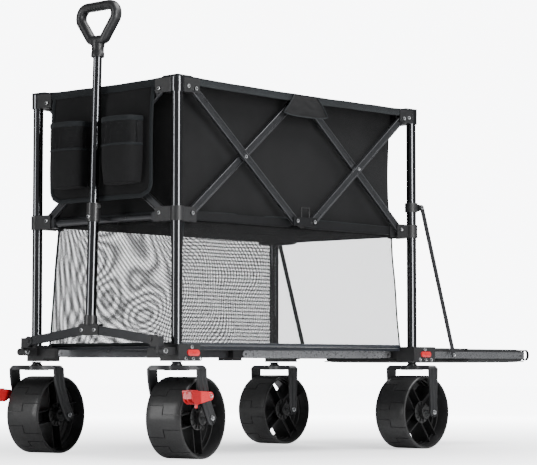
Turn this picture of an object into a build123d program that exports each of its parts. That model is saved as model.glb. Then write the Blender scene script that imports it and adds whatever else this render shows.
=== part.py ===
from build123d import *
import os
from math import acos, asin, atan2, cos, degrees, hypot, radians, sin, tan

# Double-deck folding beach cart, in millimetres.
# +X runs from the pull handle (front) to the tailgate (rear), +Y to the cart's right, +Z up,
# and Z = 0 is the ground. The model is drawn about the middle of its four posts and moved at
# the end so that the origin lies under the middle of its length.

# ---- driving dimensions: frame ----
POST_SPACING_X = 871.0      # between front and rear post axes
POST_SPACING_Y = 489.0      # between left and right post axes
POST_RADIUS = 12.7
TUBE_WALL = 1.5
BLOCK_BOTTOM = 226.0        # corner blocks that carry the wheels
BLOCK_HEIGHT = 39.0
MID_PIVOT_Z = 571.0         # sliding brackets that carry the upper bag's floor
TOP_PIVOT_Z = 862.0         # fixed brackets under the rim
BRACKET_HEIGHT = 34.0
SLEEVE_WALL = 3.3
SLIDE_CLEARANCE = 0.35
POST_SEAT = 14.0            # how far the post sits into its corner block

# ---- driving dimensions: scissor bars ----
BAR_HEIGHT = 20.0
BAR_THICKNESS = 10.0
BAR_WALL = 1.6
LANE_GAP = 0.6              # between the two bars of a crossing pair
SIDE_GAP = 0.3              # between a bar and the plate beside it
PLATE = 2.5                 # bracket and clevis plates
PIVOT_OFFSET = 47.0         # post axis to bar pivots
CENTRE_OFFSET = 32.0        # middle of the side to bar pivots
PIN_RADIUS = 3.0
PIN_CLEARANCE = 0.08
FOLDED_BAR_ANGLE = 78.0     # side bars below or above level when folded

# ---- driving dimensions: upper deck rails ----
RAIL_OFFSET = 66.0
RAIL_HEIGHT = 20.0
RAIL_THICKNESS = 16.0
RAIL_GAP = 1.0

# ---- driving dimensions: umbrella base ----
BASE_PIVOT_Z = 245.0
CORNER_PIVOT = (7.0, 80.0)  # from a post axis inward along X and Y
HUB_PIVOT = (38.0, 15.0)    # from the middle outward along X and Y
ARM_SIZE = 20.0
LUG_THICKNESS = 8.0
CLEVIS_PLATE = 4.0
LUG_RADIUS = 9.0
HUB_THICKNESS = 34.0

# ---- driving dimensions: wheels and forks ----
WHEEL_RADIUS = 95.0
WHEEL_WIDTH = 97.0
TREAD_WALL = 6.0
WHEEL_HUB_RADIUS = 17.0
SPOKE_THICKNESS = 4.0
SPOKE_SPREAD = 30.0         # between the two ribs of a double spoke
AXLE_RADIUS = 5.0
WHEEL_CROWN_GAP = 18.0
FORK_INSIDE = 134.0
FORK_PLATE = 6.0
KINGPIN_RADIUS = 6.0
CASTER_TRAIL = 39.0
CASTER_SWIVEL = 10.0        # parked direction of both casters

# ---- driving dimensions: brake pedals ----
PEDAL_WIDTH = 16.0
PEDAL_PIVOT = (8.0, 146.0)      # behind the kingpin, above the ground
PEDAL_LENGTH = 78.0             # pivot to the front of the foot plate
PEDAL_FOOT = 26.0               # width of the foot plate, inward from the outer face
PEDAL_GAP = 2.0                 # between the fork arm and the lever

# ---- driving dimensions: pull handle ----
YOKE_FORWARD = 46.5         # yoke plane in front of the front posts
YOKE_PITCH_Z = 249.0
YOKE_PITCH_IN = 4.0         # knuckle inward of the post
YOKE_BAR_IN = 30.0
YOKE_BAR_Z = 275.0
APEX_HALF = 22.0
APEX_Z = 300.0
YOKE_BAR = (20.0, 12.0)
HANDLE_LEAN = 1.6
LOWER_TUBE_RADIUS = 12.7
UPPER_TUBE_RADIUS = 11.0
HANDLE_COLLAR = (33.0, 44.0)
COLLAR_MID_Z = 580.0
LOWER_TUBE_END = 8.0         # above the middle of the collar
GRIP_NECK_Z = 954.0
GRIP_NECK = 33.0
GRIP_WIDTH = 146.0
GRIP_HEIGHT = 103.0
GRIP_SECTION = 28.0
HANDLE_STROKE = 180.0       # how far the upper tube slides down
TUBE_SEAT = 12.0            # foot of the lower tube above the apex pins

# ---- driving dimensions: tailgate ----
GATE_HINGE_OUT = 60.0       # behind the rear post axis
GATE_HINGE_Z = 244.0
GATE_RAIL = (20.0, 18.0)
GATE_LENGTH = 498.0         # rear post axis to the end of the panel
GATE_PANEL_START = 26.0     # hinge to the thin front edge of the panel
GATE_SLEEVE_START = 226.0
GATE_SLEEVE = (38.0, 224.0)     # height, bottom
GATE_LOOP = 26.0
STRUT_LOW_OUT = 154.0
STRUT_TOP_OUT = 20.0
STRUT_TOP_Z = 631.0
STRUT_LANE = 20.0           # outside the post plane
STRUT = (14.0, 3.0)
COLLAR_HEIGHT = 24.0

# ---- driving dimensions: fabric ----
BAG_INSET_X = 40.0
BAG_INSET_Y = 36.0
BAG_BOTTOM = 560.0
BAG_FLOOR = 8.0
BAG_WALL = 3.0
RIM_TOP = 892.0
RIM_THICKNESS = 4.0
RIM_OVERHANG = 12.0
POCKET_WIDTH = 112.0
POCKET_DEPTH = 50.0
POCKET_HEIGHT = 155.0
POCKET_TOP = 800.0
POCKET_GAP = 70.0
DECK_TOP = 269.0
DECK_THICKNESS = 10.0
DECK_INSET = 22.0
MESH_TOP = 548.0

# ---- driving dimensions: lock buttons ----
BUTTON = (40.0, 15.0)
BUTTON_PROUD = 4.0
BUTTON_TRAVEL = 3.0
BUTTON_CLEARANCE = 0.3
BUTTON_DEPTH = 6.0
BOLT_HEAD = (5.0, 2.5)

# ---- derived sizes ----
HALF_X = POST_SPACING_X / 2
HALF_Y = POST_SPACING_Y / 2
LANE = (BAR_THICKNESS + LANE_GAP) / 2
SIDE_SPAN = HALF_X - PIVOT_OFFSET - CENTRE_OFFSET
END_SPAN = POST_SPACING_Y - 2 * PIVOT_OFFSET
RISE = TOP_PIVOT_Z - MID_PIVOT_Z
SIDE_BAR = hypot(SIDE_SPAN, RISE)
END_BAR = hypot(END_SPAN, RISE)
SIDE_ANGLE = degrees(atan2(RISE, SIDE_SPAN))
END_ANGLE = degrees(atan2(RISE, END_SPAN))
FOLDED_RISE = SIDE_BAR * sin(radians(FOLDED_BAR_ANGLE))
FOLDED_END_ANGLE = degrees(asin(FOLDED_RISE / END_BAR))
TRAVEL_X = SIDE_SPAN - SIDE_BAR * cos(radians(FOLDED_BAR_ANGLE))
TRAVEL_Y = (END_SPAN - END_BAR * cos(radians(FOLDED_END_ANGLE))) / 2

# The base arms lie along the path that a post takes, so their yaw never changes.
CORNER_POINT = (HALF_X - CORNER_PIVOT[0], HALF_Y - CORNER_PIVOT[1])
ARM_YAW = degrees(atan2(TRAVEL_Y, TRAVEL_X))
HUB_POINT = (HUB_PIVOT[0], CORNER_POINT[1] - (CORNER_POINT[0] - HUB_PIVOT[0]) * TRAVEL_Y / TRAVEL_X)
ARM_LENGTH = hypot(CORNER_POINT[0] - HUB_POINT[0], CORNER_POINT[1] - HUB_POINT[1])
RAIL_LENGTH = HALF_X - RAIL_OFFSET
RAIL_FOLD = degrees(acos((RAIL_LENGTH - TRAVEL_X) / RAIL_LENGTH))
RAIL_BEVEL = RAIL_HEIGHT / 2 * tan(radians(RAIL_FOLD))
YOKE_SPAN = HALF_Y - YOKE_BAR_IN - APEX_HALF
YOKE_LENGTH = hypot(YOKE_SPAN, APEX_Z - YOKE_BAR_Z)
YOKE_ANGLE = degrees(atan2(APEX_Z - YOKE_BAR_Z, YOKE_SPAN))
STRUT_LENGTH = hypot(STRUT_LOW_OUT - STRUT_TOP_OUT, STRUT_TOP_Z - GATE_HINGE_Z)
BLOCK_TOP = BLOCK_BOTTOM + BLOCK_HEIGHT
CROWN_BOTTOM = 2 * WHEEL_RADIUS + WHEEL_CROWN_GAP
SLEEVE_RADIUS = POST_RADIUS + SLEEVE_WALL
SLEEVE_BORE = POST_RADIUS + SLIDE_CLEARANCE
TOP_BOTTOM = TOP_PIVOT_Z - 10.0
YOKE_X = -HALF_X - YOKE_FORWARD


# ---- small shapes shared by several parts ----
def block(u0, u1, v0, v1, z0, z1):
    """A box between two corners."""
    return Pos((u0 + u1) / 2, (v0 + v1) / 2, (z0 + z1) / 2) * Box(u1 - u0, v1 - v0, z1 - z0)


def along_y(radius, v0, v1, u=0.0, z=0.0):
    return Pos(u, (v0 + v1) / 2, z) * Rot(90, 0, 0) * Cylinder(radius, abs(v1 - v0))


def along_x(radius, u0, u1, v=0.0, z=0.0):
    return Pos((u0 + u1) / 2, v, z) * Rot(0, 90, 0) * Cylinder(radius, abs(u1 - u0))


def upright(radius, z0, z1, u=0.0, v=0.0):
    return Pos(u, v, (z0 + z1) / 2) * Cylinder(radius, z1 - z0)


def group(*solids):
    """Several separate solids in one node."""
    return Compound(children=[piece for shape in solids for piece in shape.solids()])


def mirrored(shape, end, side):
    """Takes a shape drawn at the front left corner to any corner."""
    if end == "rear":
        shape = mirror(shape, about=Plane.YZ)
    if side == "right":
        shape = mirror(shape, about=Plane.XZ)
    return shape


def at_post(shape, end, side):
    """Places a shape drawn about the post axis, with +X and +Y pointing inward."""
    return mirrored(Pos(-HALF_X, -HALF_Y, 0) * shape, end, side)


def channel_bar(length):
    """A pressed steel channel from the origin along +X with round pierced ends, open towards +Y."""
    half = BAR_THICKNESS / 2
    radius = BAR_HEIGHT / 2
    bar = block(0, length, -half, half, -radius, radius)
    bar += along_y(radius, -half, half)
    bar += along_y(radius, -half, half, length)
    hollow = Pos(length / 2, BAR_WALL, 0) * Box(
        length - 2 * BAR_HEIGHT, BAR_THICKNESS, BAR_HEIGHT - 2 * BAR_WALL
    )
    bar -= hollow
    for place in (0, length):
        bar -= along_y(PIN_RADIUS + PIN_CLEARANCE, -BAR_THICKNESS, BAR_THICKNESS, place)
    return bar


# ---- corner posts with their fixed mouldings ----
def post_tube():
    tube = upright(POST_RADIUS, BLOCK_TOP - POST_SEAT, RIM_TOP - RIM_THICKNESS - 1)
    return tube - upright(POST_RADIUS - TUBE_WALL, BLOCK_BOTTOM, RIM_TOP)


def lane_room(lanes):
    """Lowest and highest edge of the slot for the outer lane, the inner lane or both."""
    half = BAR_THICKNESS / 2 + SIDE_GAP
    low = LANE if lanes == "inner" else -LANE
    high = -LANE if lanes == "outer" else LANE
    return low - half, high + half


def slotted_wing(reach, lanes, z0, z1):
    """Two plates along +X either side of the given bar lanes, joined to the sleeve."""
    low, high = lane_room(lanes)
    wing = block(0, reach, low - PLATE, high + PLATE, z0, z1)
    slot_start = PIVOT_OFFSET - BAR_HEIGHT / 2 - 6
    return wing - block(slot_start, reach + 1, low, high, z0 - 1, z1 + 1)


def lane_pin(u, lanes, z):
    """A rivet across one slot, with its head proud of the outer plate."""
    low, high = lane_room(lanes)
    pin = along_y(PIN_RADIUS, low - PLATE, high + PLATE, u, z)
    return pin + along_y(BOLT_HEAD[0], low - PLATE - BOLT_HEAD[1], low - PLATE, u, z)


def turned(shape):
    """Turns a wing drawn along +X to lie along +Y, keeping its outer lane outside."""
    return mirror(shape, about=Plane((0, 0, 0), x_dir=(0, 0, 1), z_dir=(1, -1, 0)))


def top_bracket():
    z0, z1 = TOP_BOTTOM, TOP_BOTTOM + BRACKET_HEIGHT
    reach = PIVOT_OFFSET + 14
    body = upright(SLEEVE_RADIUS, z0, z1) + slotted_wing(reach, "outer", z0, z1)
    body += turned(slotted_wing(reach, "both", z0, z1))
    body -= upright(POST_RADIUS, z0 - 1, z1 + 1)
    body += lane_pin(PIVOT_OFFSET, "outer", TOP_PIVOT_Z)
    return body + turned(lane_pin(PIVOT_OFFSET, "both", TOP_PIVOT_Z))


def base_block(end):
    """The corner moulding that takes the post, kingpin, base arm, yoke or tailgate."""
    v_out = -20.0
    if end == "front":
        body = block(-14, 58, v_out, 20, BLOCK_BOTTOM, BLOCK_TOP)
    else:
        body = block(-GATE_HINGE_OUT - 13, 16, v_out, 20, BLOCK_BOTTOM, BLOCK_TOP)
        slot = GATE_RAIL[0] / 2 + SIDE_GAP
        body -= block(-GATE_HINGE_OUT - 14, -GATE_HINGE_OUT + 13, -slot, slot, GATE_HINGE_Z - 13, BLOCK_TOP + 1)
        body += along_y(PIN_RADIUS + 1, -slot, slot, -GATE_HINGE_OUT, GATE_HINGE_Z)
    body += block(-14, 14, v_out, 41, BLOCK_BOTTOM, BLOCK_TOP)
    body += block(-14, -4, 30, CORNER_PIVOT[1] + 3, BASE_PIVOT_Z - 12, BASE_PIVOT_Z + 12)
    body += arm_lug(CORNER_PIVOT, 14)
    body -= upright(POST_RADIUS, BLOCK_TOP - POST_SEAT, BLOCK_TOP + 1)
    body -= upright(KINGPIN_RADIUS + PIN_CLEARANCE, BLOCK_BOTTOM - 1, BLOCK_TOP - POST_SEAT - 2)
    if end == "front":
        body += yoke_ears()
    return body


def arm_lug(point, back):
    """An upright tongue along the arm's direction, with its pin, that a base arm's clevis straddles."""
    half = LUG_THICKNESS / 2
    tongue = block(-back, 0, -half, half, BASE_PIVOT_Z - LUG_RADIUS, BASE_PIVOT_Z + LUG_RADIUS)
    tongue += along_y(LUG_RADIUS, -half, half, 0, BASE_PIVOT_Z)
    reach = half + SIDE_GAP + CLEVIS_PLATE
    tongue += along_y(PIN_RADIUS, -reach, reach, 0, BASE_PIVOT_Z)
    return Pos(point[0], point[1], 0) * Rot(0, 0, ARM_YAW) * tongue


def yoke_ears():
    """Two ears in front of the block with the pitch pin of the pull handle."""
    ears = None
    for v0 in (YOKE_PITCH_IN - 14, YOKE_PITCH_IN + 9):
        ear = block(-YOKE_FORWARD, -13, v0, v0 + 5, YOKE_PITCH_Z - 9, YOKE_PITCH_Z + 9)
        ear += along_y(9, v0, v0 + 5, -YOKE_FORWARD, YOKE_PITCH_Z)
        ears = ear if ears is None else ears + ear
    return ears + along_y(PIN_RADIUS + 1, YOKE_PITCH_IN - 10, YOKE_PITCH_IN + 10, -YOKE_FORWARD, YOKE_PITCH_Z)


def side_button_place(end):
    """Where the lock button's middle lies, measured inward from the post."""
    return 34.0 if end == "front" else -33.0


def button_pocket(end, grow):
    """The pill-shaped prism of a lock button, grown by a clearance, through the block's outer face."""
    length, height = BUTTON
    u = side_button_place(end)
    radius = height / 2 + grow
    straight = (length - height) / 2
    v0, v1 = -20 - BUTTON_PROUD - grow, -20 + BUTTON_DEPTH + grow
    pill = block(u - straight, u + straight, v0, v1, BASE_PIVOT_Z - radius, BASE_PIVOT_Z + radius)
    for place in (u - straight, u + straight):
        pill += along_y(radius, v0, v1, place, BASE_PIVOT_Z)
    return pill


def corner_post(end, side):
    block_body = base_block(end)
    if side == "left":
        room = button_pocket(end, BUTTON_CLEARANCE)
        block_body -= room + Pos(0, BUTTON_TRAVEL, 0) * room
    return group(post_tube(), top_bracket(), block_body)


def mid_bracket():
    """Slides on the post; carries the rising bars, the falling ends and the deck rail."""
    z0 = MID_PIVOT_Z - 20
    z1 = z0 + BRACKET_HEIGHT
    wing = slotted_wing(PIVOT_OFFSET + 14, "inner", z0, z1)
    plate_in = LANE + BAR_THICKNESS / 2 + SIDE_GAP
    wing += block(PIVOT_OFFSET, RAIL_OFFSET + 9, plate_in, plate_in + PLATE, z0, z1)
    end_wing = slotted_wing(PIVOT_OFFSET + 14, "both", z0, z1)
    body = upright(SLEEVE_RADIUS, z0, z1) + wing + turned(end_wing)
    body -= upright(SLEEVE_BORE, z0 - 1, z1 + 1)
    body += lane_pin(PIVOT_OFFSET, "inner", MID_PIVOT_Z)
    rail_inner = rail_lane()[1]
    return body + along_y(PIN_RADIUS, plate_in, rail_inner, RAIL_OFFSET, rail_z())


def rail_lane():
    """Inner and outer faces of the deck rail, inward of the post plane."""
    outer = LANE + BAR_THICKNESS / 2 + SIDE_GAP + PLATE + SIDE_GAP
    return outer, outer + RAIL_THICKNESS


def rail_z():
    return MID_PIVOT_Z - 4


# ---- scissor bars ----
def crossing_rivet(length):
    """The head of the rivet where two bars cross, on the outer bar's face."""
    return along_y(BOLT_HEAD[0] + 1, -BAR_THICKNESS / 2 - BOLT_HEAD[1], -BAR_THICKNESS / 2, length / 2)


def side_bar(upper):
    """A long-side bar at the front left corner; the upper one falls inward, the lower one rises."""
    bar = channel_bar(SIDE_BAR)
    if upper:
        bar += crossing_rivet(SIDE_BAR)
    lane = -LANE if upper else LANE
    angle = SIDE_ANGLE if upper else -SIDE_ANGLE
    height = TOP_PIVOT_Z if upper else MID_PIVOT_Z
    return Pos(-HALF_X + PIVOT_OFFSET, -HALF_Y + lane, height) * Rot(0, angle, 0) * bar


def end_bar(side):
    """A cross bar of the front end, hung from the given side's top bracket."""
    lane = -LANE if side == "left" else LANE
    bar = channel_bar(END_BAR)
    if side == "left":
        bar += crossing_rivet(END_BAR)
    bar = turned(Pos(PIVOT_OFFSET, lane, TOP_PIVOT_Z) * Rot(0, END_ANGLE, 0) * bar)
    return Pos(-HALF_X, -HALF_Y, 0) * bar


def centre_joint():
    """Outer plate that ties the two falling bars of one side at mid length, with its wire bail."""
    outer = -LANE - BAR_THICKNESS / 2 - SIDE_GAP
    reach = CENTRE_OFFSET + 12
    plate = block(-reach, reach, outer - PLATE, outer, MID_PIVOT_Z - 12, MID_PIVOT_Z + 10)
    plate += along_y(PIN_RADIUS, outer, outer + BAR_THICKNESS + SIDE_GAP, -CENTRE_OFFSET, MID_PIVOT_Z)
    for place in (-CENTRE_OFFSET, CENTRE_OFFSET):
        plate += along_y(BOLT_HEAD[0], outer - PLATE - BOLT_HEAD[1], outer - PLATE, place, MID_PIVOT_Z)
    wire = 1.5
    middle = outer - PLATE / 2
    foot, top = MID_PIVOT_Z + 9, MID_PIVOT_Z + 34
    for place in (-14, 14):
        plate += upright(wire, foot, top, place, middle)
    plate += along_x(wire, -14 - wire, 14 + wire, middle, top)
    return Pos(0, -HALF_Y, 0) * plate


def rail_bevel(end, outer, inner):
    """Cut under the middle end of a rail, so that the two halves can rise together."""
    half = RAIL_HEIGHT / 2
    past = RAIL_BEVEL * (half + 1) / half
    with BuildSketch(Plane.XZ) as outline:
        with BuildLine():
            Polyline((end, 0), (end + 1, 0), (end + 1, -half - 1), (end - past, -half - 1), close=True)
        make_face()
    return Pos(0, (outer + inner) / 2, 0) * extrude(outline.sketch, (inner - outer) / 2 + 1, both=True)


def deck_rail():
    """Half of a long-side rail at the front left, from its bracket pin to the middle."""
    outer, inner = rail_lane()
    half = RAIL_HEIGHT / 2
    end = RAIL_LENGTH - RAIL_GAP / 2
    rail = block(0, end, outer, inner, -half, half) + along_y(half, outer, inner)
    rail -= block(14, end - RAIL_BEVEL, outer + TUBE_WALL, inner - TUBE_WALL, -half - 1, half - TUBE_WALL)
    rail -= rail_bevel(end, outer, inner)
    rail -= along_y(PIN_RADIUS + PIN_CLEARANCE, outer - 1, inner + 1)
    return Pos(-HALF_X + RAIL_OFFSET, -HALF_Y, rail_z()) * rail


# ---- umbrella base ----
def clevis(length):
    """One fork end of a base arm about the origin, its tube side towards +X."""
    inner = LUG_THICKNESS / 2 + SIDE_GAP
    outer = inner + CLEVIS_PLATE
    ends = block(0, length, -outer, outer, -LUG_RADIUS, LUG_RADIUS) + along_y(LUG_RADIUS, -outer, outer)
    ends -= block(-LUG_RADIUS - 1, LUG_RADIUS + 4, -inner, inner, -LUG_RADIUS - 1, LUG_RADIUS + 1)
    return ends - along_y(PIN_RADIUS + PIN_CLEARANCE, -outer - 1, outer + 1)


def base_arm():
    """An arm of the umbrella base at the front left, drawn from its corner pivot inward."""
    fork = 26.0
    half = ARM_SIZE / 2
    arm = block(fork - 4, ARM_LENGTH - fork + 4, -half, half, -half, half)
    arm -= block(fork, ARM_LENGTH - fork, -half + TUBE_WALL, half - TUBE_WALL, -half - 1, half - TUBE_WALL)
    arm += clevis(fork)
    arm += Pos(ARM_LENGTH, 0, 0) * Rot(0, 0, 180) * clevis(fork)
    return Pos(-CORNER_POINT[0], -CORNER_POINT[1], BASE_PIVOT_Z) * Rot(0, 0, ARM_YAW) * arm


def base_hub():
    """The moulded hub with one tongue for each arm."""
    core_x, core_y = HUB_PIVOT[0] - 22, 26.0
    z0, z1 = BASE_PIVOT_Z - HUB_THICKNESS / 2, BASE_PIVOT_Z + HUB_THICKNESS / 2 - 6
    hub = block(-core_x, core_x, -core_y, core_y, z0, z1)
    for end in ("front", "rear"):
        for side in ("left", "right"):
            tongue = Rot(0, 0, 180) * arm_lug((0, 0), 26)
            hub += mirrored(Pos(-HUB_POINT[0], -HUB_POINT[1], 0) * tongue, end, side)
    return hub


# ---- wheels, forks and brakes ----
def wheel():
    """A wide moulded drum on double-rib spokes, its axis along Y through the origin."""
    half = WHEEL_WIDTH / 2
    drum = along_y(WHEEL_RADIUS, -half, half) - along_y(WHEEL_RADIUS - TREAD_WALL, -half - 1, half + 1)
    body = drum + along_y(WHEEL_HUB_RADIUS, -half, half)
    reach = WHEEL_RADIUS - TREAD_WALL / 2
    for quarter in range(4):
        for shift in (-SPOKE_SPREAD / 2, SPOKE_SPREAD / 2):
            rib = block(6, reach, -half + 20, half - 20, shift - SPOKE_THICKNESS / 2, shift + SPOKE_THICKNESS / 2)
            body += Rot(0, 90 * quarter, 0) * rib
    return body - along_y(AXLE_RADIUS + PIN_CLEARANCE, -half - 1, half + 1)


def axle():
    reach = FORK_INSIDE / 2 + FORK_PLATE
    bolt = along_y(AXLE_RADIUS, -reach, reach)
    for face in (-1, 1):
        bolt += along_y(AXLE_RADIUS + 5, face * reach, face * (reach + 5))
    return bolt


def fork(trail):
    """Crown, two swept arms and kingpin about the post axis; the axle lies behind by the trail."""
    inside = FORK_INSIDE / 2
    crown_top = CROWN_BOTTOM + FORK_PLATE
    body = block(-28, 28, -inside - FORK_PLATE, inside + FORK_PLATE, CROWN_BOTTOM, crown_top)
    with BuildSketch(Plane.XZ) as outline:
        with BuildLine():
            Polyline(
                (-28, crown_top),
                (28, crown_top),
                (trail + 15, WHEEL_RADIUS),
                (trail - 15, WHEEL_RADIUS),
                close=True,
            )
        make_face()
    arm = extrude(outline.sketch, FORK_PLATE / 2, both=True)
    arm += along_y(15, -FORK_PLATE / 2, FORK_PLATE / 2, trail, WHEEL_RADIUS)
    arm -= along_y(AXLE_RADIUS + PIN_CLEARANCE, -FORK_PLATE, FORK_PLATE, trail, WHEEL_RADIUS)
    for face in (-1, 1):
        body += Pos(0, face * (inside + FORK_PLATE / 2), 0) * arm
    body += upright(KINGPIN_RADIUS, crown_top - 1, BLOCK_TOP - POST_SEAT - 4)
    body += upright(14, crown_top - 1, BLOCK_BOTTOM - 2)
    return body


def caster_place(shape, side):
    """Turns a caster piece to its parked direction about its kingpin."""
    swivel = CASTER_SWIVEL if side == "left" else -CASTER_SWIVEL
    shape = Pos(-HALF_X, -HALF_Y, 0) * Rot(0, 0, swivel) * shape
    return mirrored(shape, "front", side)


def pedal_outline(start):
    """Side view of the brake lever from its front end back to start, about the pivot."""
    front = -PEDAL_LENGTH
    with BuildSketch(Plane.XZ) as outline:
        with BuildLine():
            Polyline(
                (start, 10),
                (front, 13),
                (front, 8),
                (front + 5, -10),
                (front + 20, -19),
                (start, -10 if start > front / 2 else -17),
                close=True,
            )
        make_face()
    return outline.sketch


def pedal():
    """A foot lever beside the outer fork arm, its foot plate reaching inward ahead of the arm."""
    u, z = PEDAL_PIVOT
    near = -(FORK_INSIDE / 2 + FORK_PLATE + PEDAL_GAP)
    outer = near - PEDAL_WIDTH
    lever = Pos(0, near - PEDAL_WIDTH / 2, 0) * extrude(pedal_outline(0), PEDAL_WIDTH / 2, both=True)
    lever += along_y(10, outer, near)
    foot = extrude(pedal_outline(-PEDAL_LENGTH / 2), PEDAL_FOOT / 2, both=True)
    lever += Pos(0, outer + PEDAL_FOOT / 2, 0) * foot
    lever -= along_y(PIN_RADIUS + 1 + PIN_CLEARANCE, outer - 1, near + 1)
    return Pos(u, 0, z) * lever


def pedal_pin():
    u, z = PEDAL_PIVOT
    face = FORK_INSIDE / 2 + FORK_PLATE
    pin = along_y(PIN_RADIUS + 1, -face - PEDAL_GAP - PEDAL_WIDTH, -face + 1, u, z)
    return pin + along_y(9, -face - PEDAL_GAP + 0.5, -face, u, z)


# ---- pull handle ----
def leaning(shape):
    """Leans a handle piece back about the pitch pin."""
    return Pos(YOKE_X, 0, YOKE_PITCH_Z) * Rot(0, HANDLE_LEAN, 0) * Pos(-YOKE_X, 0, -YOKE_PITCH_Z) * shape


def yoke_end(side):
    """The knuckle on one front corner; it pitches on the block and forks around the yoke bar.

    Only the left one holds a pin through the bar; the right one has its rivet heads alone.
    """
    inward = YOKE_BAR_IN - YOKE_PITCH_IN
    rise = YOKE_BAR_Z - YOKE_PITCH_Z
    height, thick = YOKE_BAR
    half = thick / 2 + SIDE_GAP
    barrel = along_y(9, -8.5, 8.5)
    plates = block(-half - PLATE, half + PLATE, 0, inward, -7, rise + 8)
    plates += along_x(12, -half - PLATE, half + PLATE, inward, rise)
    plates -= block(-half - PLATE - 1, half + PLATE + 1, 8.4, inward + 30, -30, 10)
    plates -= block(-half, half, 14, inward + 30, -30, rise + 30)
    knuckle = barrel + plates
    if side == "left":
        knuckle += along_x(PIN_RADIUS, -half - 1, half + 1, inward, rise)
    knuckle += along_x(BOLT_HEAD[0], -half - PLATE - BOLT_HEAD[1], -half - PLATE, inward, rise)
    knuckle -= along_y(PIN_RADIUS + 1 + PIN_CLEARANCE, -10, 10)
    return Pos(YOKE_X, -HALF_Y + YOKE_PITCH_IN, YOKE_PITCH_Z) * knuckle


def yoke_bar():
    height, thick = YOKE_BAR
    bar = block(0, YOKE_LENGTH, -thick / 2, thick / 2, -height / 2, height / 2)
    bar -= block(18, YOKE_LENGTH - 18, -thick / 2 + TUBE_WALL, thick / 2 - TUBE_WALL, -height, height / 2 - 2)
    for place in (0, YOKE_LENGTH):
        bar += along_y(height / 2, -thick / 2, thick / 2, place)
    for place in (0, YOKE_LENGTH):
        bar -= along_y(PIN_RADIUS + PIN_CLEARANCE, -thick, thick, place)
    return Pos(YOKE_X, -HALF_Y + YOKE_BAR_IN, YOKE_BAR_Z) * Rot(0, 0, 90) * Rot(0, -YOKE_ANGLE, 0) * bar


def handle_lower():
    """Apex bracket, lower tube and lock collar of the telescopic handle."""
    thick = YOKE_BAR[1]
    half = thick / 2 + SIDE_GAP
    reach = APEX_HALF + 12
    apex = block(-half - PLATE, half + PLATE, -reach, reach, APEX_Z - 12, APEX_Z + 14)
    slot_start = APEX_HALF - YOKE_BAR[0] / 2 - 1
    for face in (-1, 1):
        middle = face * (slot_start + reach) / 2
        slot = Pos(0, middle, APEX_Z) * Box(2 * half, reach - slot_start + 0.01, 60)
        apex -= slot
        apex += along_x(PIN_RADIUS, -half - 1, half + 1, face * APEX_HALF, APEX_Z)
    socket = APEX_Z + TUBE_SEAT
    apex += upright(LOWER_TUBE_RADIUS + 3, socket, APEX_Z + 34)
    apex -= upright(LOWER_TUBE_RADIUS, socket, APEX_Z + 40)
    tube = upright(LOWER_TUBE_RADIUS, socket, COLLAR_MID_Z + LOWER_TUBE_END)
    tube -= upright(UPPER_TUBE_RADIUS + SLIDE_CLEARANCE, APEX_Z, COLLAR_MID_Z + 20)
    width, height = HANDLE_COLLAR
    z0, z1 = COLLAR_MID_Z - height / 2, COLLAR_MID_Z + height / 2
    collar = upright(width / 2, z0, z1)
    collar -= upright(LOWER_TUBE_RADIUS, z0 - 1, COLLAR_MID_Z + LOWER_TUBE_END)
    collar -= upright(UPPER_TUBE_RADIUS + SLIDE_CLEARANCE, z0, z1 + 1)
    collar -= along_y(5 + BUTTON_CLEARANCE, -width, -UPPER_TUBE_RADIUS, 0, COLLAR_MID_Z + 14)
    pieces = [Pos(YOKE_X, 0, 0) * piece for piece in (apex, tube, collar)]
    return group(*[leaning(piece) for piece in pieces])


def handle_button():
    """Spring button on the side of the lock collar."""
    outside = HANDLE_COLLAR[0] / 2 + 3.0
    inside = UPPER_TUBE_RADIUS + SLIDE_CLEARANCE + 3.3
    return leaning(along_y(5, -outside, -inside, YOKE_X, COLLAR_MID_Z + 14))


def handle_upper():
    bottom = APEX_Z + TUBE_SEAT + 2 + HANDLE_STROKE
    tube = upright(UPPER_TUBE_RADIUS, bottom, GRIP_NECK_Z + 20, YOKE_X)
    return leaning(tube - upright(UPPER_TUBE_RADIUS - TUBE_WALL, bottom - 1, GRIP_NECK_Z + 21, YOKE_X))


def handle_grip():
    """Closed loop grip with a rounded triangular outline on a short neck."""
    half = GRIP_WIDTH / 2
    foot = GRIP_NECK_Z + GRIP_NECK
    top = foot + GRIP_HEIGHT
    with BuildSketch(Plane.YZ) as outline:
        with BuildLine():
            Polyline((-half, top), (half, top), (half, top - 42), (24, foot), (-24, foot), (-half, top - 42), close=True)
        make_face()
        fillet(outline.vertices().group_by(Axis.Y)[-1], 26)
        fillet(outline.vertices().group_by(Axis.Y)[0], 10)
    ring = extrude(outline.sketch, GRIP_SECTION / 2, both=True)
    with BuildSketch(Plane.YZ) as opening:
        with BuildLine():
            inner = half - 26
            Polyline((-inner, top - 27), (inner, top - 27), (inner, top - 40), (10, foot + 22), (-10, foot + 22),
                     (-inner, top - 40), close=True)
        make_face()
        fillet(opening.vertices(), 5)
    ring -= extrude(opening.sketch, GRIP_SECTION, both=True)
    ring += upright(UPPER_TUBE_RADIUS + 5, GRIP_NECK_Z, foot + 6)
    ring -= upright(UPPER_TUBE_RADIUS, GRIP_NECK_Z - 1, GRIP_NECK_Z + 20)
    return leaning(Pos(YOKE_X, 0, 0) * ring)


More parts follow.
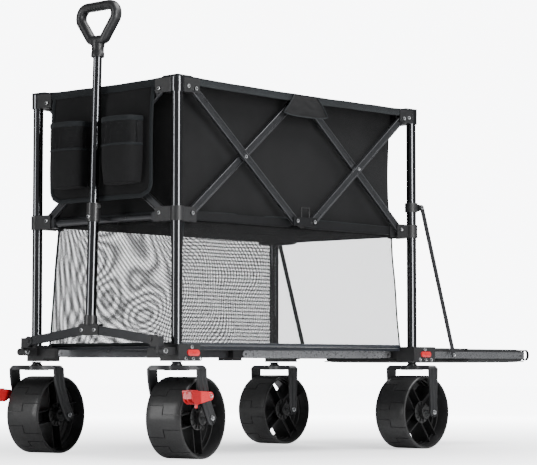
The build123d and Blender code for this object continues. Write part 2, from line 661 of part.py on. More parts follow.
# ---- tailgate ----
def gate_rail():
    """A side rail of the tailgate at the rear left, drawn about the post with +X rearward."""
    width, height = GATE_RAIL
    end = GATE_LENGTH - 6
    body = block(GATE_HINGE_OUT, end, -width / 2, width / 2, -height / 2, height / 2)
    body += along_y(height / 2, -width / 2, width / 2, GATE_HINGE_OUT)
    body -= block(GATE_HINGE_OUT + 14, end - 6, -width / 2 + TUBE_WALL, width / 2 - TUBE_WALL, -height,
                  height / 2 - TUBE_WALL)
    body -= along_y(PIN_RADIUS + 1 + PIN_CLEARANCE, -width, width, GATE_HINGE_OUT)
    boss = along_y(7, -STRUT_LANE + STRUT[1] / 2 + SIDE_GAP, -width / 2 + 1, STRUT_LOW_OUT)
    pin = along_y(PIN_RADIUS, -STRUT_LANE - STRUT[1], -width / 2, STRUT_LOW_OUT)
    return Pos(0, 0, GATE_HINGE_Z) * (body + boss + pin)


def at_rear(shape, side):
    """Places a piece drawn about the left rear post axis, +X rearward and -Y outward."""
    placed = Pos(HALF_X, -HALF_Y, 0) * shape
    return mirror(placed, about=Plane.XZ) if side == "right" else placed


def gate_panel():
    """Padded tailgate deck; its rear part is a sleeve around both rails, with two pull loops."""
    width, height = GATE_RAIL
    sleeve_height, bottom = GATE_SLEEVE
    top = bottom + sleeve_height
    inner = HALF_Y - width / 2 - 2
    outer = HALF_Y + width / 2 + 3
    panel = block(HALF_X + GATE_HINGE_OUT + GATE_PANEL_START, HALF_X + GATE_SLEEVE_START + 2, -inner, inner, top - 12, top)
    panel += block(HALF_X + GATE_SLEEVE_START, HALF_X + GATE_LENGTH, -outer, outer, bottom, top)
    room = 1.0
    for side in (-1, 1):
        panel -= block(HALF_X + GATE_SLEEVE_START - 1, HALF_X + GATE_LENGTH - 4,
                       side * HALF_Y - width / 2 - room, side * HALF_Y + width / 2 + room,
                       GATE_HINGE_Z - height / 2 - room, GATE_HINGE_Z + height / 2 + room)
    loops = []
    for side in (-1, 1):
        ring = along_y(GATE_LOOP / 2 + 2, -4, 4) - along_y(GATE_LOOP / 2 - 3, -5, 5)
        ring = Pos(HALF_X + GATE_LENGTH + GATE_LOOP / 2 + 2.3, side * HALF_Y, bottom + 17) * ring
        loops.append(ring)
    return group(panel, *loops)


def gate_strut():
    """Flat stay from the tailgate rail up to the collar on the post, lower end at the origin."""
    width, thick = STRUT
    bar = block(0, STRUT_LENGTH, -thick / 2, thick / 2, -width / 2, width / 2)
    for place in (0, STRUT_LENGTH):
        bar += along_y(width / 2, -thick / 2, thick / 2, place)
    for place in (0, STRUT_LENGTH):
        bar -= along_y(PIN_RADIUS + PIN_CLEARANCE, -thick, thick, place)
    lean = degrees(atan2(STRUT_TOP_Z - GATE_HINGE_Z, STRUT_TOP_OUT - STRUT_LOW_OUT))
    return Pos(STRUT_LOW_OUT, -STRUT_LANE, GATE_HINGE_Z) * Rot(0, -lean, 0) * bar


def strut_collar():
    """Clamp ring that slides on a rear post, with the stud that meets the strut."""
    z0, z1 = STRUT_TOP_Z - COLLAR_HEIGHT / 2, STRUT_TOP_Z + COLLAR_HEIGHT / 2
    ring = upright(SLEEVE_RADIUS + 1, z0, z1)
    face = -STRUT_LANE + STRUT[1] / 2 + SIDE_GAP
    ring += block(0, STRUT_TOP_OUT, -12, 2, STRUT_TOP_Z - 9, STRUT_TOP_Z + 9)
    ring += along_y(8, face, 0, STRUT_TOP_OUT, STRUT_TOP_Z)
    return ring - upright(SLEEVE_BORE, z0 - 1, z1 + 1)


# ---- fabric ----
def upper_bag():
    """The open-topped upper bag with its rim, end organiser pockets and side flap."""
    x, y = HALF_X - BAG_INSET_X, HALF_Y - BAG_INSET_Y
    bag = block(-x, x, -y, y, BAG_BOTTOM, RIM_TOP)
    bag -= block(-x + BAG_WALL, x - BAG_WALL, -y + BAG_WALL, y - BAG_WALL, BAG_BOTTOM + BAG_FLOOR, RIM_TOP + 1)
    rim_x, rim_y = HALF_X + RIM_OVERHANG, HALF_Y + RIM_OVERHANG
    rim = block(-rim_x, rim_x, -rim_y, rim_y, RIM_TOP - RIM_THICKNESS, RIM_TOP)
    rim -= block(-x + BAG_WALL, x - BAG_WALL, -y + BAG_WALL, y - BAG_WALL, RIM_TOP - 20, RIM_TOP + 1)
    bag += rim
    front = -HALF_X - 12 - LANE
    pockets = []
    for middle in (-POCKET_WIDTH / 2 - POCKET_GAP / 2, POCKET_WIDTH / 2 + POCKET_GAP / 2):
        half = POCKET_WIDTH / 2
        pocket = block(front - POCKET_DEPTH, front, middle - half, middle + half, POCKET_TOP - POCKET_HEIGHT, POCKET_TOP)
        pocket -= block(front - POCKET_DEPTH + BAG_WALL, front - BAG_WALL, middle - half + BAG_WALL,
                        middle + half - BAG_WALL, POCKET_TOP - POCKET_HEIGHT + BAG_WALL, POCKET_TOP + 1)
        pockets.append(pocket)
    return group(bag, *pockets)


def lower_deck():
    """Floor board and mesh walls of the lower deck, open at the rear and above."""
    x, y = HALF_X - DECK_INSET, HALF_Y - DECK_INSET
    z0 = DECK_TOP - DECK_THICKNESS
    deck = block(-x, x, -y, y, z0, MESH_TOP)
    deck -= block(-x + BAG_WALL, x + 1, -y + BAG_WALL, y - BAG_WALL, DECK_TOP, MESH_TOP + 1)
    return deck


# ---- assembly ----
def build_nodes():
    nodes = {}
    for end in ("front", "rear"):
        for side in ("left", "right"):
            corner = f"{end}_{side}"
            nodes[f"{corner}_post"] = at_post_group(corner_post(end, side), end, side)
            nodes[f"{corner}_mid_bracket"] = at_post(mid_bracket(), end, side)
            nodes[f"{corner}_base_arm"] = mirrored(base_arm(), end, side)
            nodes[f"{corner}_upper_bar"] = mirrored(side_bar(True), end, side)
            nodes[f"{corner}_lower_bar"] = mirrored(side_bar(False), end, side)
            nodes[f"{corner}_end_bar"] = mirrored(end_bar(side), end, side)
            nodes[f"{corner}_rail"] = mirrored(deck_rail(), end, side)
    nodes["base_hub"] = base_hub()
    for side in ("left", "right"):
        nodes[f"{side}_centre_joint"] = mirrored(centre_joint(), "front", side)
        front_fork = fork(CASTER_TRAIL) + pedal_pin()
        nodes[f"front_{side}_fork"] = group(
            caster_place(front_fork, side), caster_place(Pos(CASTER_TRAIL, 0, WHEEL_RADIUS) * axle(), side)
        )
        nodes[f"front_{side}_wheel"] = caster_place(Pos(CASTER_TRAIL, 0, WHEEL_RADIUS) * wheel(), side)
        nodes[f"front_{side}_brake_pedal"] = caster_place(pedal(), side)
        nodes[f"rear_{side}_fork"] = group(
            at_post(fork(0), "rear", side), at_post(Pos(0, 0, WHEEL_RADIUS) * axle(), "rear", side)
        )
        nodes[f"rear_{side}_wheel"] = at_post(Pos(0, 0, WHEEL_RADIUS) * wheel(), "rear", side)
        nodes[f"yoke_{side}_end"] = mirrored(leaning(yoke_end(side)), "front", side)
        nodes[f"yoke_{side}_bar"] = mirrored(leaning(yoke_bar()), "front", side)
        nodes[f"tailgate_{side}_rail"] = at_rear(gate_rail(), side)
        nodes[f"tailgate_{side}_strut"] = at_rear(gate_strut(), side)
        nodes[f"{side}_strut_collar"] = at_rear(strut_collar(), side)
    nodes["handle_lower_tube"] = handle_lower()
    nodes["handle_lock_button"] = handle_button()
    nodes["handle_upper_tube"] = handle_upper()
    nodes["handle_grip"] = handle_grip()
    nodes["tailgate_panel"] = gate_panel()
    nodes["upper_bag"] = upper_bag()
    nodes["lower_deck"] = lower_deck()
    for end in ("front", "rear"):
        nodes[f"{end}_left_lock_button"] = at_post(button_pocket(end, 0), end, "left")
    return nodes


def at_post_group(shape, end, side):
    return group(*[at_post(solid, end, side) for solid in shape.solids()])


def length_middle(nodes):
    """X of the middle of the whole cart."""
    boxes = [shape.bounding_box() for shape in nodes.values()]
    return (min(box.min.X for box in boxes) + max(box.max.X for box in boxes)) / 2


NODES = build_nodes()
SHIFT_X = -length_middle(NODES)

if __name__ == "__main__":
    os.makedirs("parts", exist_ok=True)
    for name, shape in NODES.items():
        moved = [Pos(SHIFT_X, 0, 0) * solid for solid in shape.solids()]
        export_step(moved[0] if len(moved) == 1 else Compound(moved), f"parts/{name}.step")
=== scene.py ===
import math

import bmesh
import bpy
from mathutils import Matrix, Vector, noise


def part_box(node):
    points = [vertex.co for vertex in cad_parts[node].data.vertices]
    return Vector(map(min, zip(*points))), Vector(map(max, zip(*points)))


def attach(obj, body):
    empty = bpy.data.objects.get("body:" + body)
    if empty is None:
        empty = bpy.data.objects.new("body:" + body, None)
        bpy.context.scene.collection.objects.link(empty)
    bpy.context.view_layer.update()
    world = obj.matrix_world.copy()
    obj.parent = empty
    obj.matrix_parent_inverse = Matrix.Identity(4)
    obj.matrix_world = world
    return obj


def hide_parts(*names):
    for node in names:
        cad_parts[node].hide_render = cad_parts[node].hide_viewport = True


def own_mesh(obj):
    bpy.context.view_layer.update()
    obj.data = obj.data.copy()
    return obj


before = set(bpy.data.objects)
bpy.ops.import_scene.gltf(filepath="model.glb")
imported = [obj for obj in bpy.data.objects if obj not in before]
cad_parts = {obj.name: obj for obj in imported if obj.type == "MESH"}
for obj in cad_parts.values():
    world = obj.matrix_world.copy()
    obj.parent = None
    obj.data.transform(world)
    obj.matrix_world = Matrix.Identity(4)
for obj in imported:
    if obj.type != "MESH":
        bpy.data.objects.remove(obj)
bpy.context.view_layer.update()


# ---- Camera, lights and floor ----
# The cart stands on a plain pale floor. The camera is low in front of the left front post, and two tall
# soft lights on either side of it draw the upright highlights that show on the round posts.
SLEEVE_RADIUS = 0.016

ENDS = {"front": -1, "rear": 1}
SIDES = {"left": -1, "right": 1}
post = {}
for end, toward in ENDS.items():
    for side, outward in SIDES.items():
        low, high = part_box(f"{end}_{side}_mid_bracket")
        x = low.x + SLEEVE_RADIUS if end == "front" else high.x - SLEEVE_RADIUS
        y = low.y + SLEEVE_RADIUS if side == "left" else high.y - SLEEVE_RADIUS
        post[end, side] = Vector((x, y, 0))

near_post = post["front", "left"]
middle = (post["front", "left"] + post["rear", "right"]) / 2
forward = Vector((0.7358, 0.6739, 0.0663))
camera_data = bpy.data.cameras.new("camera")
camera_data.lens = 135.35
camera_data.sensor_width = 36.0
camera = bpy.data.objects.new("camera", camera_data)
bpy.context.collection.objects.link(camera)
camera.location = near_post + Vector((-3.297, -3.307, 0.213))
camera.rotation_euler = forward.to_track_quat("-Z", "Y").to_euler()
bpy.context.scene.camera = camera


def softbox(name, bearing, distance, height, width, tall, power):
    """An area light at a bearing in degrees from +X, aimed at the middle of the cart."""
    light = bpy.data.lights.new(name, "AREA")
    light.shape = "RECTANGLE"
    light.size = width
    light.size_y = tall
    light.energy = power
    lamp = bpy.data.objects.new(name, light)
    bpy.context.collection.objects.link(lamp)
    turn = math.radians(bearing)
    lamp.location = middle + Vector((math.cos(turn) * distance, math.sin(turn) * distance, height))
    aim = middle + Vector((0, 0, 0.5)) - lamp.location
    lamp.rotation_euler = aim.to_track_quat("-Z", "Y").to_euler()


softbox("side_strip", -104, 3.2, 0.9, 0.7, 2.6, 125)
softbox("front_strip", 160, 3.4, 0.9, 0.6, 2.4, 45)
softbox("top_panel", -60, 1.6, 3.4, 3.0, 2.4, 170)
softbox("rear_panel", 30, 3.6, 1.6, 2.4, 1.8, 60)

world = bpy.data.worlds.new("pale_studio")
bpy.context.scene.world = world
world.use_nodes = True
sky = world.node_tree.nodes["Background"]
sky.inputs["Color"].default_value = (0.93, 0.94, 0.96, 1)
seen = world.node_tree.nodes.new("ShaderNodeLightPath").outputs["Is Camera Ray"]
backdrop = world.node_tree.nodes.new("ShaderNodeMapRange")
backdrop.inputs["To Min"].default_value = 0.22
backdrop.inputs["To Max"].default_value = 9.0
world.node_tree.links.new(seen, backdrop.inputs["Value"])
world.node_tree.links.new(backdrop.outputs["Result"], sky.inputs["Strength"])

floor_mesh = bpy.data.meshes.new("floor")
reach = 14.0
floor_mesh.from_pydata(
    [(-reach, -reach, 0), (reach, -reach, 0), (reach, reach, 0), (-reach, reach, 0)], [], [(0, 1, 2, 3)]
)
floor = bpy.data.objects.new("floor", floor_mesh)
bpy.context.collection.objects.link(floor)
floor_paint = bpy.data.materials.new("pale_floor")
floor_paint.use_nodes = True
floor_nodes = floor_paint.node_tree.nodes
floor_links = floor_paint.node_tree.links
floor_shader = floor_nodes["Principled BSDF"]
floor_shader.inputs["Base Color"].default_value = (0.88, 0.88, 0.89, 1)
floor_shader.inputs["Roughness"].default_value = 0.7
# Painted light: the floor glows to the camera alone, faint near the origin and rising to full strength 3.2 m
# out, so that it melts into the bright backdrop.
floor_shader.inputs["Emission Color"].default_value = (0.93, 0.94, 0.96, 1)
away = floor_nodes.new("ShaderNodeVectorMath")
away.operation = "LENGTH"
floor_links.new(floor_nodes.new("ShaderNodeTexCoord").outputs["Object"], away.inputs[0])
floor_glow = floor_nodes.new("ShaderNodeMapRange")
for key, value in (("From Min", 0.2), ("From Max", 3.2), ("To Min", 0.9), ("To Max", 8.5)):
    floor_glow.inputs[key].default_value = value
floor_links.new(away.outputs["Value"], floor_glow.inputs["Value"])
seen_floor = floor_nodes.new("ShaderNodeMath")
seen_floor.operation = "MULTIPLY"
floor_links.new(floor_glow.outputs["Result"], seen_floor.inputs[0])
floor_links.new(floor_nodes.new("ShaderNodeLightPath").outputs["Is Camera Ray"], seen_floor.inputs[1])
floor_links.new(seen_floor.outputs[0], floor_shader.inputs["Emission Strength"])
floor_mesh.materials.append(floor_paint)


# ---- Posts, top brackets and base blocks ----
# Round steel tubes with a glossy gunmetal coat. A pebbled black nylon bracket is pressed over each top, and
# the foot sits in a black nylon block. The tube's own finish runs up through the bracket's sleeve.
POST_REACH = 0.0166
BLOCK_TOP = 0.2655


class Finish:
    """A material with its shader, and short ways to add textures in the object's own coordinates."""

    def __init__(self, name, roughness, metallic=0.0, coat=0.0, coat_roughness=0.1, sheen=0.0):
        self.material = bpy.data.materials.new(name)
        self.material.use_nodes = True
        self.nodes = self.material.node_tree.nodes
        self.links = self.material.node_tree.links
        self.shader = self.nodes["Principled BSDF"]
        self.shader.inputs["Roughness"].default_value = roughness
        self.shader.inputs["Metallic"].default_value = metallic
        self.shader.inputs["Coat Weight"].default_value = coat
        self.shader.inputs["Coat Roughness"].default_value = coat_roughness
        self.shader.inputs["Sheen Weight"].default_value = sheen
        self.place = self.nodes.new("ShaderNodeTexCoord").outputs["Object"]

    def math(self, operation, first, second=0.0):
        node = self.nodes.new("ShaderNodeMath")
        node.operation = operation
        for socket, value in zip(node.inputs, (first, second)):
            if isinstance(value, (int, float)):
                socket.default_value = value
            else:
                self.links.new(value, socket)
        return node.outputs[0]

    def axes(self):
        node = self.nodes.new("ShaderNodeSeparateXYZ")
        self.links.new(self.place, node.inputs[0])
        return node.outputs

    def grain(self, scale, detail=3.0, stretch=(1, 1, 1)):
        mapping = self.nodes.new("ShaderNodeMapping")
        mapping.inputs["Scale"].default_value = stretch
        self.links.new(self.place, mapping.inputs["Vector"])
        node = self.nodes.new("ShaderNodeTexNoise")
        node.inputs["Scale"].default_value = scale
        node.inputs["Detail"].default_value = detail
        self.links.new(mapping.outputs[0], node.inputs["Vector"])
        return node.outputs["Fac"]

    def pebbles(self, scale):
        node = self.nodes.new("ShaderNodeTexVoronoi")
        node.inputs["Scale"].default_value = scale
        self.links.new(self.place, node.inputs["Vector"])
        return node.outputs["Distance"]

    def blend(self, amount, dark, light):
        """A colour between two, following amount."""
        node = self.nodes.new("ShaderNodeMix")
        node.data_type = "RGBA"
        self.links.new(amount, node.inputs["Factor"])
        for socket, value in zip((node.inputs[6], node.inputs[7]), (dark, light)):
            if isinstance(value, tuple):
                socket.default_value = (*value, 1)
            else:
                self.links.new(value, socket)
        return node.outputs[2]

    def span(self, amount, low, high, to_low, to_high):
        node = self.nodes.new("ShaderNodeMapRange")
        for key, value in (("From Min", low), ("From Max", high), ("To Min", to_low), ("To Max", to_high)):
            node.inputs[key].default_value = value
        self.links.new(amount, node.inputs["Value"])
        return node.outputs["Result"]

    def bump(self, height, strength, distance):
        node = self.nodes.new("ShaderNodeBump")
        node.inputs["Strength"].default_value = strength
        node.inputs["Distance"].default_value = distance
        self.links.new(height, node.inputs["Height"])
        self.links.new(node.outputs["Normal"], self.shader.inputs["Normal"])

    def use(self, value, socket):
        self.links.new(value, self.shader.inputs[socket])

    def tint(self, scale, dark, light, stretch=(1, 1, 1)):
        self.use(self.blend(self.grain(scale, stretch=stretch), dark, light), "Base Color")

    def polish(self, scale, low, high):
        self.use(self.span(self.grain(scale), 0.3, 0.7, low, high), "Roughness")


def tube_and_moulding(name, foot, lean, radius, from_height, to_height):
    """A glossy metal tube about an axis through foot, and pebbled plastic for everything further out."""
    finish = Finish(name, 0.3, coat=0.35, coat_roughness=0.08)
    x, y, z = finish.axes()
    rise = finish.math("SUBTRACT", z, foot.z)
    off_x = finish.math("SUBTRACT", finish.math("SUBTRACT", x, foot.x), finish.math("MULTIPLY", rise, lean))
    off_y = finish.math("SUBTRACT", y, foot.y)
    square = finish.math("ADD", finish.math("MULTIPLY", off_x, off_x), finish.math("MULTIPLY", off_y, off_y))
    near = finish.math("LESS_THAN", finish.math("SQRT", square), radius)
    above = finish.math("GREATER_THAN", z, from_height)
    below = finish.math("LESS_THAN", z, to_height)
    tube = finish.math("MULTIPLY", near, finish.math("MULTIPLY", above, below))
    streaks = finish.grain(40, stretch=(1, 1, 0.08))
    metal = finish.blend(streaks, (0.085, 0.088, 0.095), (0.115, 0.118, 0.126))
    plastic = finish.blend(finish.grain(90), (0.006, 0.0061, 0.0066), (0.014, 0.0143, 0.0152))
    finish.use(finish.blend(tube, plastic, metal), "Base Color")
    rough = finish.span(finish.grain(300), 0.3, 0.7, 0.4, 0.55)
    sheen = finish.span(finish.grain(25), 0.3, 0.7, 0.15, 0.175)
    difference = finish.math("SUBTRACT", sheen, rough)
    finish.use(finish.math("ADD", rough, finish.math("MULTIPLY", tube, difference)), "Roughness")
    finish.use(tube, "Metallic")
    pebble = finish.math("MULTIPLY", finish.pebbles(900), finish.math("SUBTRACT", 1.0, tube))
    finish.bump(pebble, 0.35, 0.0004)
    return finish.material


def paint(node, material):
    """Gives a carried-over node its finish."""
    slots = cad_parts[node].material_slots
    if not len(slots):
        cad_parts[node].data.materials.append(material)
    for slot in slots:
        slot.material = material


for (end, side), foot in post.items():
    glossy = tube_and_moulding(f"{end}_{side}_post_finish", foot, 0.0, POST_REACH, BLOCK_TOP, 2.0)
    paint(f"{end}_{side}_post", glossy)


# ---- Bolts and rivets ----
# Zinc-plated domed rivets with a hollow middle, one at each pivot that shows on the outside of a bracket.
# They are turned parts, pressed in from outside, and each rides with the bracket that it holds.
RIVET_RADIUS = 0.0048
TOP_PIVOT_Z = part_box("front_left_upper_bar")[1].z - 0.010
MID_PIVOT_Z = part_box("front_left_upper_bar")[0].z + 0.010
PIVOT_OFFSET = 0.047
PLATE_FACE = 0.0131


def skin(form, rings):
    """Faces between rings of equal count, and a cap on the first and the last."""
    for lower, upper in zip(rings, rings[1:]):
        for k in range(len(lower)):
            after = (k + 1) % len(lower)
            form.faces.new((lower[k], lower[after], upper[after], upper[k]))
    form.faces.new(rings[0][::-1])
    form.faces.new(rings[-1])
    bmesh.ops.recalc_face_normals(form, faces=form.faces)
    return form


def lathe(profile, steps=32):
    """A turned shape about local Z from (radius, height) points."""
    form = bmesh.new()
    rings = []
    for radius, height in profile:
        if radius < 1e-7:
            rings.append([form.verts.new((0, 0, height))])
            continue
        turn = 2 * math.pi / steps
        rings.append([
            form.verts.new((radius * math.cos(turn * k), radius * math.sin(turn * k), height))
            for k in range(steps)
        ])
    for lower, upper in zip(rings, rings[1:]):
        for k in range(steps):
            after = (k + 1) % steps
            if len(lower) == 1:
                form.faces.new((lower[0], upper[k], upper[after]))
            elif len(upper) == 1:
                form.faces.new((lower[k], lower[after], upper[0]))
            else:
                form.faces.new((lower[k], lower[after], upper[after], upper[k]))
    bmesh.ops.recalc_face_normals(form, faces=form.faces)
    return form


def absorb(form, other, placing=Matrix()):
    """Adds other to form, moved by placing."""
    made = {}
    for vert in other.verts:
        made[vert] = form.verts.new(placing @ vert.co)
    flip = placing.determinant() < 0
    for face in other.faces:
        corners = [made[vert] for vert in face.verts]
        form.faces.new(corners[::-1] if flip else corners)
    other.free()
    return form


def show(name, form, material, body, angle=35):
    """Turns a form into a piece with smooth faces and crisp edges that rides on a body."""
    mesh = bpy.data.meshes.new(name)
    form.to_mesh(mesh)
    form.free()
    mesh.materials.append(material)
    mesh.polygons.foreach_set("use_smooth", [True] * len(mesh.polygons))
    mesh.set_sharp_from_angle(angle=math.radians(angle))
    piece = bpy.data.objects.new(name, mesh)
    bpy.context.collection.objects.link(piece)
    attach(piece, body)
    return piece


def facing(place, direction):
    """Puts local Z along a direction at a place."""
    return Matrix.Translation(place) @ Vector(direction).to_track_quat("Z", "Y").to_matrix().to_4x4()


def rivet():
    """A pressed head that is open in the middle."""
    r = RIVET_RADIUS
    return lathe([
        (r, -0.0005), (r, 0.0008), (r * 0.86, 0.0019), (r * 0.68, 0.0022), (r * 0.58, 0.0018),
        (r * 0.52, -0.0005), (r, -0.0005),
    ], 24)


bright = Finish("zinc_rivets", 0.3, metallic=1.0)
bright.tint(500, (0.34, 0.35, 0.36), (0.6, 0.61, 0.62))
bright.bump(bright.grain(900), 0.1, 0.0002)

HEAD_RISE = 0.0024
for (end, side), foot in post.items():
    along = -ENDS[end]
    inward = -SIDES[side]
    heads = bmesh.new()
    out_x = Vector((-along, 0, 0))
    out_y = Vector((0, -inward, 0))
    top_side = foot + Vector((along * PIVOT_OFFSET, -inward * (PLATE_FACE + HEAD_RISE), TOP_PIVOT_Z))
    absorb(heads, rivet(), facing(top_side, out_y))
    fixing = foot + Vector((along * 0.024, -inward * PLATE_FACE, TOP_PIVOT_Z + 0.004))
    absorb(heads, rivet(), facing(fixing, out_y))
    top_end = foot + Vector((-along * (PLATE_FACE + HEAD_RISE), inward * PIVOT_OFFSET, TOP_PIVOT_Z))
    absorb(heads, rivet(), facing(top_end, out_x))
    show(f"{end}_{side}_top_rivets", heads, bright.material, f"{end}_{side}_corner")
    heads = bmesh.new()
    mid_side = foot + Vector((along * PIVOT_OFFSET, -inward * (0.0025 + HEAD_RISE), MID_PIVOT_Z))
    absorb(heads, rivet(), facing(mid_side, out_y))
    mid_end = foot + Vector((-along * PLATE_FACE, inward * PIVOT_OFFSET, MID_PIVOT_Z))
    absorb(heads, rivet(), facing(mid_end, out_x))
    show(f"{end}_{side}_mid_rivets", heads, bright.material, f"{end}_{side}_mid_bracket")


# ---- Sliding mid brackets ----
# Black glass-filled nylon with a pebbled skin. Each slides on its post and its wings clasp the bars.
nylon = Finish("pebbled_nylon", 0.5, coat=0.08, coat_roughness=0.3)
nylon.tint(120, (0.0062, 0.0064, 0.007), (0.0155, 0.016, 0.017))
nylon.polish(350, 0.42, 0.58)
nylon.bump(nylon.pebbles(900), 0.35, 0.0004)
for end in ENDS:
    for side in SIDES:
        paint(f"{end}_{side}_mid_bracket", nylon.material)


# ---- Scissor bars ----
# Rolled steel channels with round ends and a satin dark grey coat. The outer face is pressed in between two
# rounded lips, which carry a painted highlight in a much lighter grey, and a hollow rivet holds each pair where
# it crosses.
BAR_RADIUS = 0.010
BAR_HALF = 0.005

coat = Finish("satin_grey_coat", 0.34, metallic=0.75, coat=0.25, coat_roughness=0.15)
coat.tint(70, (0.055, 0.0565, 0.06), (0.078, 0.08, 0.085))
coat.polish(45, 0.27, 0.31)
coat.bump(coat.grain(900), 0.05, 0.0001)

# Painted highlight: the lips are the same coat as the rest of the bar, given a much lighter colour to stand in
# for the light that their curve catches.
lip = Finish("lip_painted_highlight", 0.24, metallic=0.9, coat=0.2)
lip.tint(50, (0.3, 0.305, 0.315), (0.42, 0.425, 0.435))
lip.bump(lip.grain(700), 0.05, 0.0001)

BAR_RINGS = [
    (0.0070, 0.0030), (0.0080, 0.0050), (0.0093, 0.0047), (0.0100, 0.0036), (0.0100, -0.0036),
    (0.0096, -0.0045), (0.0086, -0.0050), (0.0076, -0.0047), (0.0068, -0.0030), (0.0064, -0.0022),
]


ARC_STEPS = 12
LIP_FACES = 2 * 2 * (ARC_STEPS + 1)     # the first two ring gaps, which are the crest of the lip


def pill_loft(length, rings, steps=ARC_STEPS):
    """Round-ended rings about local X from 0 to length; each has a radius and a place along local Y."""
    form = bmesh.new()
    loops = []
    for radius, depth in rings:
        loop = []
        for start, centre in ((-90, length), (90, 0.0)):
            for k in range(steps + 1):
                turn = math.radians(start + 180 * k / steps)
                loop.append(form.verts.new((
                    centre + radius * math.cos(turn), depth, radius * math.sin(turn)
                )))
        loops.append(loop)
    return skin(form, loops)


def bar_between(start, finish, outward):
    """Places a bar from start to finish with its pressed face outward."""
    run = finish - start
    across = -Vector(outward).normalized()
    along = run.normalized()
    up = along.cross(across)
    placing = Matrix.Translation(start) @ Matrix((along, across, up)).transposed().to_4x4()
    form = bmesh.new()
    absorb(form, pill_loft(run.length, BAR_RINGS), placing)
    return form


def bar_ends(node, axis, falls, inner_high):
    """The two pivots of a bar from its node's box: axis is the one it runs along, 0 or 1."""
    low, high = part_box(node)
    across = 1 - axis
    lane = high[across] - BAR_HALF if inner_high else low[across] + BAR_HALF
    first, last = Vector(), Vector()
    first[axis], last[axis] = low[axis] + BAR_RADIUS, high[axis] - BAR_RADIUS
    first[across] = last[across] = lane
    top, bottom = high.z - BAR_RADIUS, low.z + BAR_RADIUS
    first.z, last.z = (top, bottom) if falls else (bottom, top)
    return first, last


def show_bar(node, axis, falls, inner_high, outward, riveted):
    first, last = bar_ends(node, axis, falls, inner_high)
    bar = show(f"{node}_channel", bar_between(first, last, outward), coat.material, node)
    bar.data.materials.append(lip.material)
    for face in bar.data.polygons[:LIP_FACES]:
        face.material_index = 1
    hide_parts(node)
    if riveted:
        centre = (first + last) / 2 + Vector(outward) * (BAR_HALF - 0.0020)
        head = bmesh.new()
        absorb(head, rivet(), facing(centre, outward))
        show(f"{node}_crossing_rivet", head, bright.material, node)


for end, toward in ENDS.items():
    for side, outward in SIDES.items():
        out_y = (0, outward, 0)
        out_x = (toward, 0, 0)
        front = end == "front"
        left = side == "left"
        show_bar(f"{end}_{side}_upper_bar", 0, front, left, out_y, True)
        show_bar(f"{end}_{side}_lower_bar", 0, not front, left, out_y, False)
        show_bar(f"{end}_{side}_end_bar", 1, left, front, out_x, left)


# ---- Centre joints ----
# Black steel plates that tie the falling bars of a side at mid length, each with two zinc rivets on its outer
# face.
black_steel = Finish("black_steel_plate", 0.38, metallic=0.4, coat=0.2, coat_roughness=0.2)
black_steel.tint(80, (0.007, 0.0073, 0.008), (0.015, 0.0155, 0.0168))
black_steel.bump(black_steel.grain(700), 0.12, 0.0003)
for side, outward in SIDES.items():
    paint(f"{side}_centre_joint", black_steel.material)
    low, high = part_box(f"{side}_centre_joint")
    face = low.y if outward < 0 else high.y
    heads = bmesh.new()
    for place in (-0.032, 0.032):
        spot = Vector((middle.x + place, face, MID_PIVOT_Z))
        absorb(heads, rivet(), facing(spot, (0, outward, 0)))
    show(f"{side}_centre_rivets", heads, bright.material, f"{side}_centre_joint")


# ---- Deck rails and end rails ----
# Black steel rails carry the floor of the upper bag along both sides, hinged at mid length. Round tubes in the
# satin dark grey coat join the mid brackets across both ends; on the cart they slide into each other as it
# folds, but here each is one tube with a clip at each end that rides on the left mid bracket.
for end in ENDS:
    for side in SIDES:
        paint(f"{end}_{side}_rail", black_steel.material)

END_RAIL_RADIUS = 0.0078
END_RAIL_INSET = 0.066


def tube_along(points, radius, sides=12, flatten=1.0, up=(0, 0, 1)):
    """A round or flattened tube that follows points; flatten squeezes it towards the up direction."""
    form = bmesh.new()
    count = len(points)
    rings = []
    for k, point in enumerate(points):
        ahead = points[k + 1] if k + 1 < count else point
        behind = points[k - 1] if k > 0 else point
        run = (ahead - behind).normalized()
        side_way = run.cross(Vector(up)).normalized()
        top_way = side_way.cross(run).normalized()
        ring = []
        for j in range(sides):
            turn = 2 * math.pi * j / sides
            offset = side_way * math.cos(turn) * radius + top_way * math.sin(turn) * radius * flatten
            ring.append(form.verts.new(point + offset))
        rings.append(ring)
    return skin(form, rings)


for end, toward in ENDS.items():
    left, right = post[end, "left"], post[end, "right"]
    start = Vector((left.x, left.y + END_RAIL_INSET, MID_PIVOT_Z - 0.008))
    finish = Vector((left.x, right.y - END_RAIL_INSET, MID_PIVOT_Z - 0.008))
    rail = tube_along([start.lerp(finish, k / 8) for k in range(9)], END_RAIL_RADIUS, 20)
    for foot in (start, finish):
        clip = bmesh.new()
        placing = Matrix.Translation(foot) @ Matrix.Diagonal((0.021, 0.022, 0.022, 1))
        bmesh.ops.create_cube(clip, size=1.0, matrix=placing)
        bmesh.ops.bevel(clip, geom=clip.edges[:], offset=0.0025, segments=2, affect="EDGES")
        absorb(rail, clip)
    piece = show(f"{end}_end_rail", rail, coat.material, f"{end}_left_mid_bracket")
    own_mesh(piece)


# ---- Upper bag ----
# Black polyester cloth with a stiff floor. The walls hang inside the bars from a rim band that is sewn
# over the top brackets, and a bound hem runs round the foot of the walls.
WALL_IN_X = 0.040
WALL_IN_Y = 0.036
RIM_OUT = 0.012
bag_low, bag_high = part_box("upper_bag")
BAG_FLOOR_Z = bag_low.z
RIM_Z = bag_high.z
WALL_TOP = RIM_Z - 0.004


